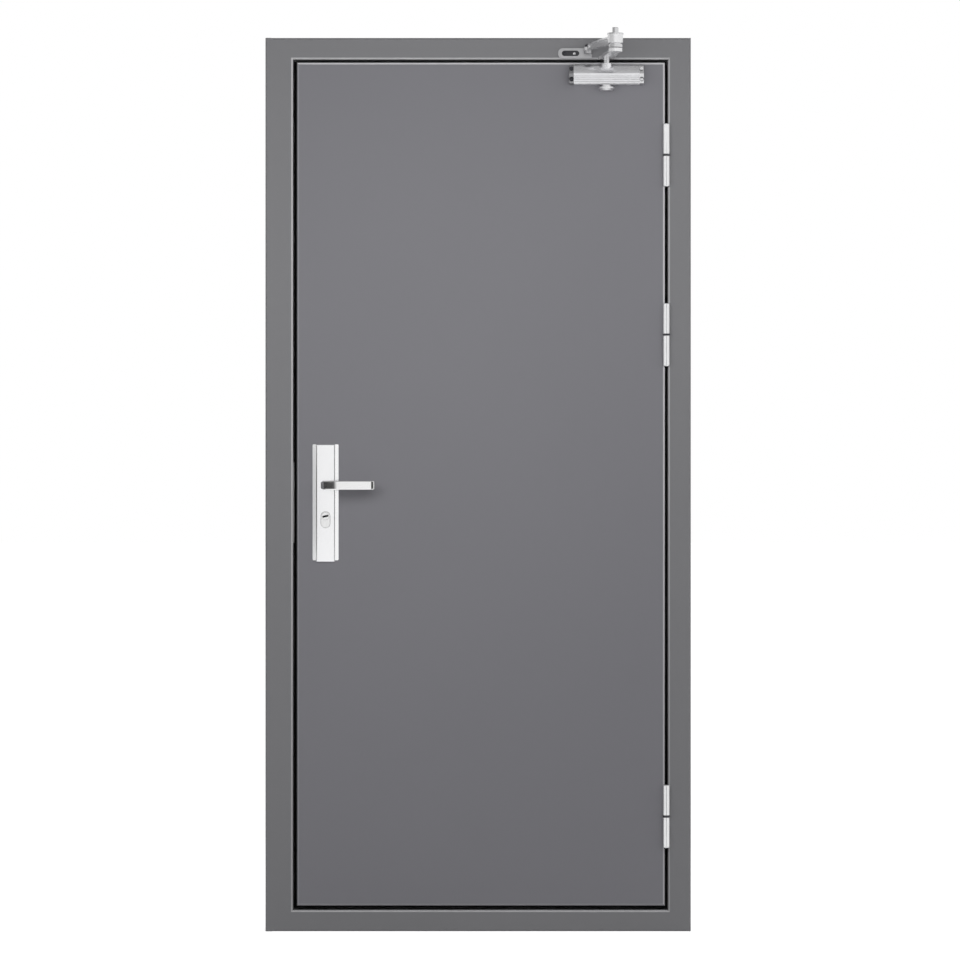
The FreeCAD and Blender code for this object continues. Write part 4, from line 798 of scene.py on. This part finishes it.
# %% Seal
seal_low, seal_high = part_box("seal_head")
outer_wall = 3.5 * mm
left, right = seal_low.x - outer_wall, seal_high.x + outer_wall
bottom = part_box("seal_threshold")[0].z - outer_wall
top = seal_high.z + outer_wall
stop_face = seal_high.y
print("rebate", [round(c, 4) for c in (left, right, bottom, top)], "stop at", stop_face)

foot = [(0.3, 0.05), (21.0, 0.05), (21.0, 0.9), (17.2, 1.0)]
bulb_centre, bulb_half_width, bulb_height, bulb_steps = 13.6, 3.3, 2.1, 10
bulb = [(bulb_centre + bulb_half_width * math.cos(math.pi * i / bulb_steps),
         1.0 + bulb_height * math.sin(math.pi * i / bulb_steps))
        for i in range(bulb_steps + 1)]
lip = [(9.6, 0.95), (5.2, 1.0), (4.4, 2.6), (3.5, 4.4), (2.6, 5.2), (1.7, 4.6), (1.4, 3.0),
       (0.6, 1.6)]
section = [(inward * mm, off * mm) for inward, off in foot + bulb + lip]
shape = bmesh.new()
loops = []
for x, z, side, rise in ((left, bottom, 1, 1), (right, bottom, -1, 1),
                         (right, top, -1, -1), (left, top, 1, -1)):
    loops.append([shape.verts.new((x + side * inward, stop_face - off, z + rise * inward))
                  for inward, off in section])
for near, far in zip(loops, loops[1:] + loops[:1]):
    for i in range(len(section)):
        j = (i + 1) % len(section)
        shape.faces.new((near[i], near[j], far[j], far[i]))
seal = finish_piece("rebate_seal", shape, "seal_rubber", "frame")
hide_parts("seal_lock", "seal_hinge", "seal_head", "seal_threshold")
print("seal swept with", len(section), "points")

# %% [markdown]
# ## Levers with softened edges
# Each lever is forged from round bar: it leaves the plate round, flattens as it bends to the
# side, and its tip turns back to the leaf so that a sleeve doesn't catch. It is drawn here as
# a row of sections between an outer and an inner edge, from full round to flat with softened
# corners, which follows the solid and gives the long edges the highlights of the real one.

# %% Levers
neck_radius = 10.5 * mm
grip_thickness = 11 * mm
lever_rise = 64 * mm
seat = 3 * mm
tip_edge = 1 * mm
corner_steps = 6


def lever_stations():
    """Outer edge, inner edge and corner rounding of each section, from the plate to the tip."""
    round_top = 18 * mm
    bend, crook, tip_outer, tip_inner = 40 * mm, 18 * mm, 13 * mm, 2 * mm
    reach, tip_low = 118.7 * mm, 34 * mm
    soft, shoulder, sharpening = 2.4 * mm, 6.5 * mm, 2.5
    under = lever_rise - grip_thickness
    stations = [((-neck_radius, seat), (neck_radius, seat), neck_radius),
                ((-neck_radius, round_top), (neck_radius, round_top), neck_radius)]
    steps, tip_steps = 20, 12
    for i in range(steps + 1):
        angle = math.pi - math.pi / 2 * i / steps
        c, s = math.cos(angle), math.sin(angle)
        outer = (bend - neck_radius + bend * c, lever_rise - bend + bend * s)
        inner = (neck_radius + crook + crook * c, under - crook + crook * s)
        share = min(1.0, i / steps * sharpening)
        stations.append((outer, inner, shoulder + (soft - shoulder) * share))
    turn_x = reach - tip_outer
    turn_y = lever_rise - tip_outer
    for share in (0.35, 0.7):
        x = bend + (turn_x - bend) * share
        stations.append(((x, lever_rise), (x, under), soft))
    for i in range(tip_steps + 1):
        angle = math.pi / 2 - math.pi / 2 * i / tip_steps
        c, s = math.cos(angle), math.sin(angle)
        stations.append(((turn_x + tip_outer * c, turn_y + tip_outer * s),
                         (turn_x + tip_inner * c, turn_y + tip_inner * s), soft))
    end = tip_low + tip_edge
    stations.append(((reach, end), (reach - grip_thickness, end), soft))
    return stations


def lever_ring(shape, outer, inner, rounding, base, out, inset=0.0):
    """One rounded section as a loop of vertices; out is the way off the leaf."""
    outer, inner = Vector(outer), Vector(inner)
    across = (outer - inner).normalized()
    half = (outer - inner).length / 2 - inset
    tall = neck_radius - inset
    radius = min(rounding, 0.98 * half, 0.98 * tall)
    centre = (outer + inner) / 2
    loop = []
    for quarter, (along, up) in enumerate(((1, 1), (-1, 1), (-1, -1), (1, -1))):
        for k in range(corner_steps + 1):
            angle = (quarter + k / corner_steps) * math.pi / 2
            place = centre + across * (along * (half - radius) + radius * math.cos(angle))
            level = up * (tall - radius) + radius * math.sin(angle)
            loop.append(shape.verts.new((base.x + place.x, base.y + out * place.y,
                                         base.z + level)))
    return loop


def build_lever(node, out):
    """One lever from its rings, closed at both ends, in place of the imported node."""
    low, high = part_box(node)
    face = high.y + seat if out < 0 else low.y - seat
    base = Vector((low.x + neck_radius, face, (low.z + high.z) / 2))
    shape = bmesh.new()
    stations = lever_stations()
    loops = [lever_ring(shape, outer, inner, rounding, base, out)
             for outer, inner, rounding in stations]
    outer, inner, rounding = stations[-1]
    for drop, inset in ((0.7 * tip_edge, 0.3 * tip_edge), (tip_edge, tip_edge)):
        loops.append(lever_ring(shape, (outer[0], outer[1] - drop), (inner[0], inner[1] - drop),
                                rounding, base, out, inset))
    shape.faces.new(loops[0])
    shape.faces.new(loops[-1])
    count = len(loops[0])
    for near, far in zip(loops, loops[1:]):
        for i in range(count):
            j = (i + 1) % count
            shape.faces.new((near[i], near[j], far[j], far[i]))
    piece = finish_piece(node + "_forged", shape, "handle_steel", "lever_handle")
    piece.data.materials[0] = finishes["lever_steel"]
    even = piece.modifiers.new("even_shading", "WEIGHTED_NORMAL")
    even.keep_sharp = True
    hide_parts(node)
    return piece


for node, out in (("lever_front", -1), ("lever_rear", 1)):
    piece = build_lever(node, out)
    print(piece.name, len(piece.data.polygons), "faces")

# %% [markdown]
# ## Pale studio floor
# The door stands on a wide pale floor with no gloss, so that it throws no mirror image.
# The photograph's ground is plain white. The floor's own colour stays a pale grey for the
# light that it returns to the door, and rays from the camera or from polished metal see it
# lifted to white, with the door's soft shadow still in it.

# %% Floor
floor_reach = 60.0
lifted = 0.80
white = (1.0, 1.0, 1.0, 1.0)


def seen_ray(tree):
    """1 for rays from the camera and those mirrored or let through, 0 for diffuse light."""
    ray = put(tree, "ShaderNodeLightPath").outputs
    mirrored = math_step(tree, "MAXIMUM", ray["Is Glossy Ray"], ray["Is Transmission Ray"])
    return math_step(tree, "MAXIMUM", ray["Is Camera Ray"], mirrored)


shape = bmesh.new()
corners = [shape.verts.new((x * floor_reach, y * floor_reach, 0.0))
           for x, y in ((-1, -1), (1, -1), (1, 1), (-1, 1))]
shape.faces.new(corners)
mesh = bpy.data.meshes.new("studio_floor")
shape.to_mesh(mesh)
shape.free()
floor = add_object("studio_floor", mesh)
material, tree, shader = start_finish("pale_floor")
trowel = put(tree, "ShaderNodeTexNoise",
             {"Vector": object_place(tree), "Scale": 1.5, "Detail": 5.0})
shade = tone(tree, (0.68, 0.68, 0.68), (0.71, 0.71, 0.71), trowel.outputs["Fac"])
tree.links.new(shade, shader.inputs["Base Color"])
shader.inputs["Roughness"].default_value = 0.8
shader.inputs["Specular IOR Level"].default_value = 0.0
glow = put(tree, "ShaderNodeEmission",
           {"Color": white, "Strength": math_step(tree, "MULTIPLY", seen_ray(tree), lifted)})
both = put(tree, "ShaderNodeAddShader")
tree.links.new(shader.outputs["BSDF"], both.inputs[0])
tree.links.new(glow.outputs["Emission"], both.inputs[1])
end = [n for n in tree.nodes if n.bl_idname == "ShaderNodeOutputMaterial"][0]
tree.links.new(both.outputs["Shader"], end.inputs["Surface"])
mesh.materials.append(material)
print("floor laid")

# %% [markdown]
# ## Studio surroundings
# Satin metal shows its surroundings, so the world stands for the studio's walls. It is
# white all round at eye height, which is what the camera sees behind the door. Higher up it
# is dim on the door's lock side, bright on its hinge side and grey overhead, which gives
# the handle, hinges and closer their dark and bright sides. Paint gets two thirds of it,
# because the lamps already light the door to its plain level.

# %% World
world = bpy.data.worlds.new("studio_walls")
bpy.context.scene.world = world
world.use_nodes = True
tree = world.node_tree
tree.nodes.clear()
lock_side, hinge_side, ceiling, diffuse_part = 0.10, 0.90, 0.40, 0.66
heading = split(tree, put(tree, "ShaderNodeTexCoord").outputs["Generated"])
side_light = remap(tree, heading["X"], -0.8, 0.8, lock_side, hinge_side)
overhead = remap(tree, heading["Z"], 0.45, 0.95)
upper = put(tree, "ShaderNodeMix", {"Factor": overhead, "A": side_light, "B": ceiling})
above_wall = remap(tree, heading["Z"], 0.26, 0.50)
level = put(tree, "ShaderNodeMix", {"Factor": above_wall, "A": 1.0,
                                    "B": upper.outputs["Result"]})
share = remap(tree, seen_ray(tree), 0.0, 1.0, diffuse_part, 1.0, smooth=False)
strength = math_step(tree, "MULTIPLY", level.outputs["Result"], share)
backing = put(tree, "ShaderNodeBackground", {"Color": white, "Strength": strength})
end = put(tree, "ShaderNodeOutputWorld")
tree.links.new(backing.outputs["Background"], end.inputs["Surface"])
print("walls from", lock_side, "to", hinge_side)

# %% [markdown]
# ## Three soft lamps
# In the photograph the upper half of the leaf is evenly lit and the tone falls towards the
# threshold. A broad soft box hangs in front of the door, level with its upper half, and a
# small one on the hinge side lifts the sides of the hinges and the closer. A third behind the
# door lights its rear face for views from there. Metal mirrors the walls and not the lamps.

# %% Lamps
def soft_box(name, place, aim, width, height, power):
    """A rectangular lamp that shines from one point towards another."""
    data = bpy.data.lights.new(name, "AREA")
    data.shape = "RECTANGLE"
    data.size = width
    data.size_y = height
    data.energy = power
    lamp = add_object(name, data)
    place = Vector(place)
    lamp.location = place
    lamp.rotation_euler = (Vector(aim) - place).to_track_quat("-Z", "Y").to_euler()
    lamp.visible_camera = False
    lamp.visible_glossy = False


soft_box("front_soft_box", place=(0.0, -1.85, 1.69), aim=(0.0, 0.0, 1.69), width=2.6,
         height=1.0, power=21.5)
soft_box("side_soft_box", place=(3.2, -2.2, 2.2), aim=(0.2, 0.0, 1.3), width=0.8,
         height=1.8, power=6.0)
soft_box("rear_soft_box", place=(0.0, 2.2, 1.7), aim=(0.0, 0.0, 1.4), width=2.6,
         height=1.0, power=18.0)
print("lamps set")

# %% [markdown]
# ## Studio flags
# Polished steel has no tone but that of what it mirrors. In the photograph the lever's bend is
# nearly black at its left end, its tip has one dark line, the closer's arm is grey on its left
# half, and the hinges are greyer down their middle. So something dark stood at those angles.
# Curved flags do that here, as dark cloths on stands do in a studio. Each is more than a metre
# from the piece that mirrors it, and only reflections see them.

# %% Flags
def curved_flag(name, centre, radius, low, high, first, last, tones):
    """A curved sheet round a point, from one angle to another left of straight ahead.

    tones gives the angles where its brightness starts and ends to change, and both values.
    """
    panels = 48
    shape = bmesh.new()
    pairs = []
    for i in range(panels + 1):
        angle = math.radians(first + (last - first) * i / panels)
        x = centre[0] - radius * math.sin(angle)
        y = centre[1] - radius * math.cos(angle)
        pairs.append((shape.verts.new((x, y, low)), shape.verts.new((x, y, high))))
    for (a, b), (c, d) in zip(pairs, pairs[1:]):
        shape.faces.new((a, c, d, b))
    mesh = bpy.data.meshes.new(name)
    shape.to_mesh(mesh)
    shape.free()
    flag = add_object(name, mesh)
    material = bpy.data.materials.new(name + "_cloth")
    material.use_nodes = True
    tree = material.node_tree
    tree.nodes.clear()
    place = split(tree, object_place(tree))
    turn = math_step(tree, "ARCTAN2", math_step(tree, "SUBTRACT", centre[0], place["X"]),
                     math_step(tree, "SUBTRACT", centre[1], place["Y"]))
    fade = remap(tree, math_step(tree, "ABSOLUTE", turn), math.radians(tones[0]),
                 math.radians(tones[1]), tones[2], tones[3])
    cloth = put(tree, "ShaderNodeEmission", {"Color": white, "Strength": fade})
    end = put(tree, "ShaderNodeOutputMaterial")
    tree.links.new(cloth.outputs["Emission"], end.inputs["Surface"])
    mesh.materials.append(material)
    flag.visible_camera = False
    flag.visible_diffuse = False
    flag.visible_shadow = False
    flag.visible_transmission = False


curved_flag("lever_flag", centre=(-0.345, -0.09), radius=1.20, low=0.84, high=1.18,
            first=3, last=113, tones=(3, 28, 0.92, 0.04))
curved_flag("tip_flag", centre=(-0.246, -0.10), radius=1.10, low=0.85, high=1.25,
            first=-35, last=-75, tones=(30, 40, 0.30, 0.05))
curved_flag("closer_flag", centre=(0.30, -0.10), radius=1.30, low=2.14, high=2.60,
            first=8, last=95, tones=(8, 26, 0.90, 0.42))
curved_flag("hinge_flag", centre=(0.442, -0.058), radius=1.20, low=0.10, high=1.93,
            first=-12, last=12, tones=(6, 12, 0.06, 0.80))
print("flags set")

# %% [markdown]
# ## Camera
# The photograph looks straight at the door from far off, level with its middle: upright
# edges stay parallel and only the closer's arm shows its underside. One pixel covers 2.35
# mm of the front face, so the lens follows from that and from the camera's distance.

# %% Camera
photo_width = 960
pixel_size = 2.35 * mm
camera_distance = 10.0
camera_height = 1.0644
camera_side = 4.4 * mm
front_face = -50 * mm
data = bpy.data.cameras.new("photo_camera")
data.sensor_width = 36.0
data.lens = data.sensor_width * camera_distance / (photo_width * pixel_size)
camera = add_object("photo_camera", data)
camera.location = (camera_side, front_face - camera_distance, camera_height)
camera.rotation_euler = (math.radians(90), 0.0, 0.0)
bpy.context.scene.camera = camera
bpy.context.scene.view_settings.view_transform = "Standard"
print("lens", round(data.lens, 1), "mm")
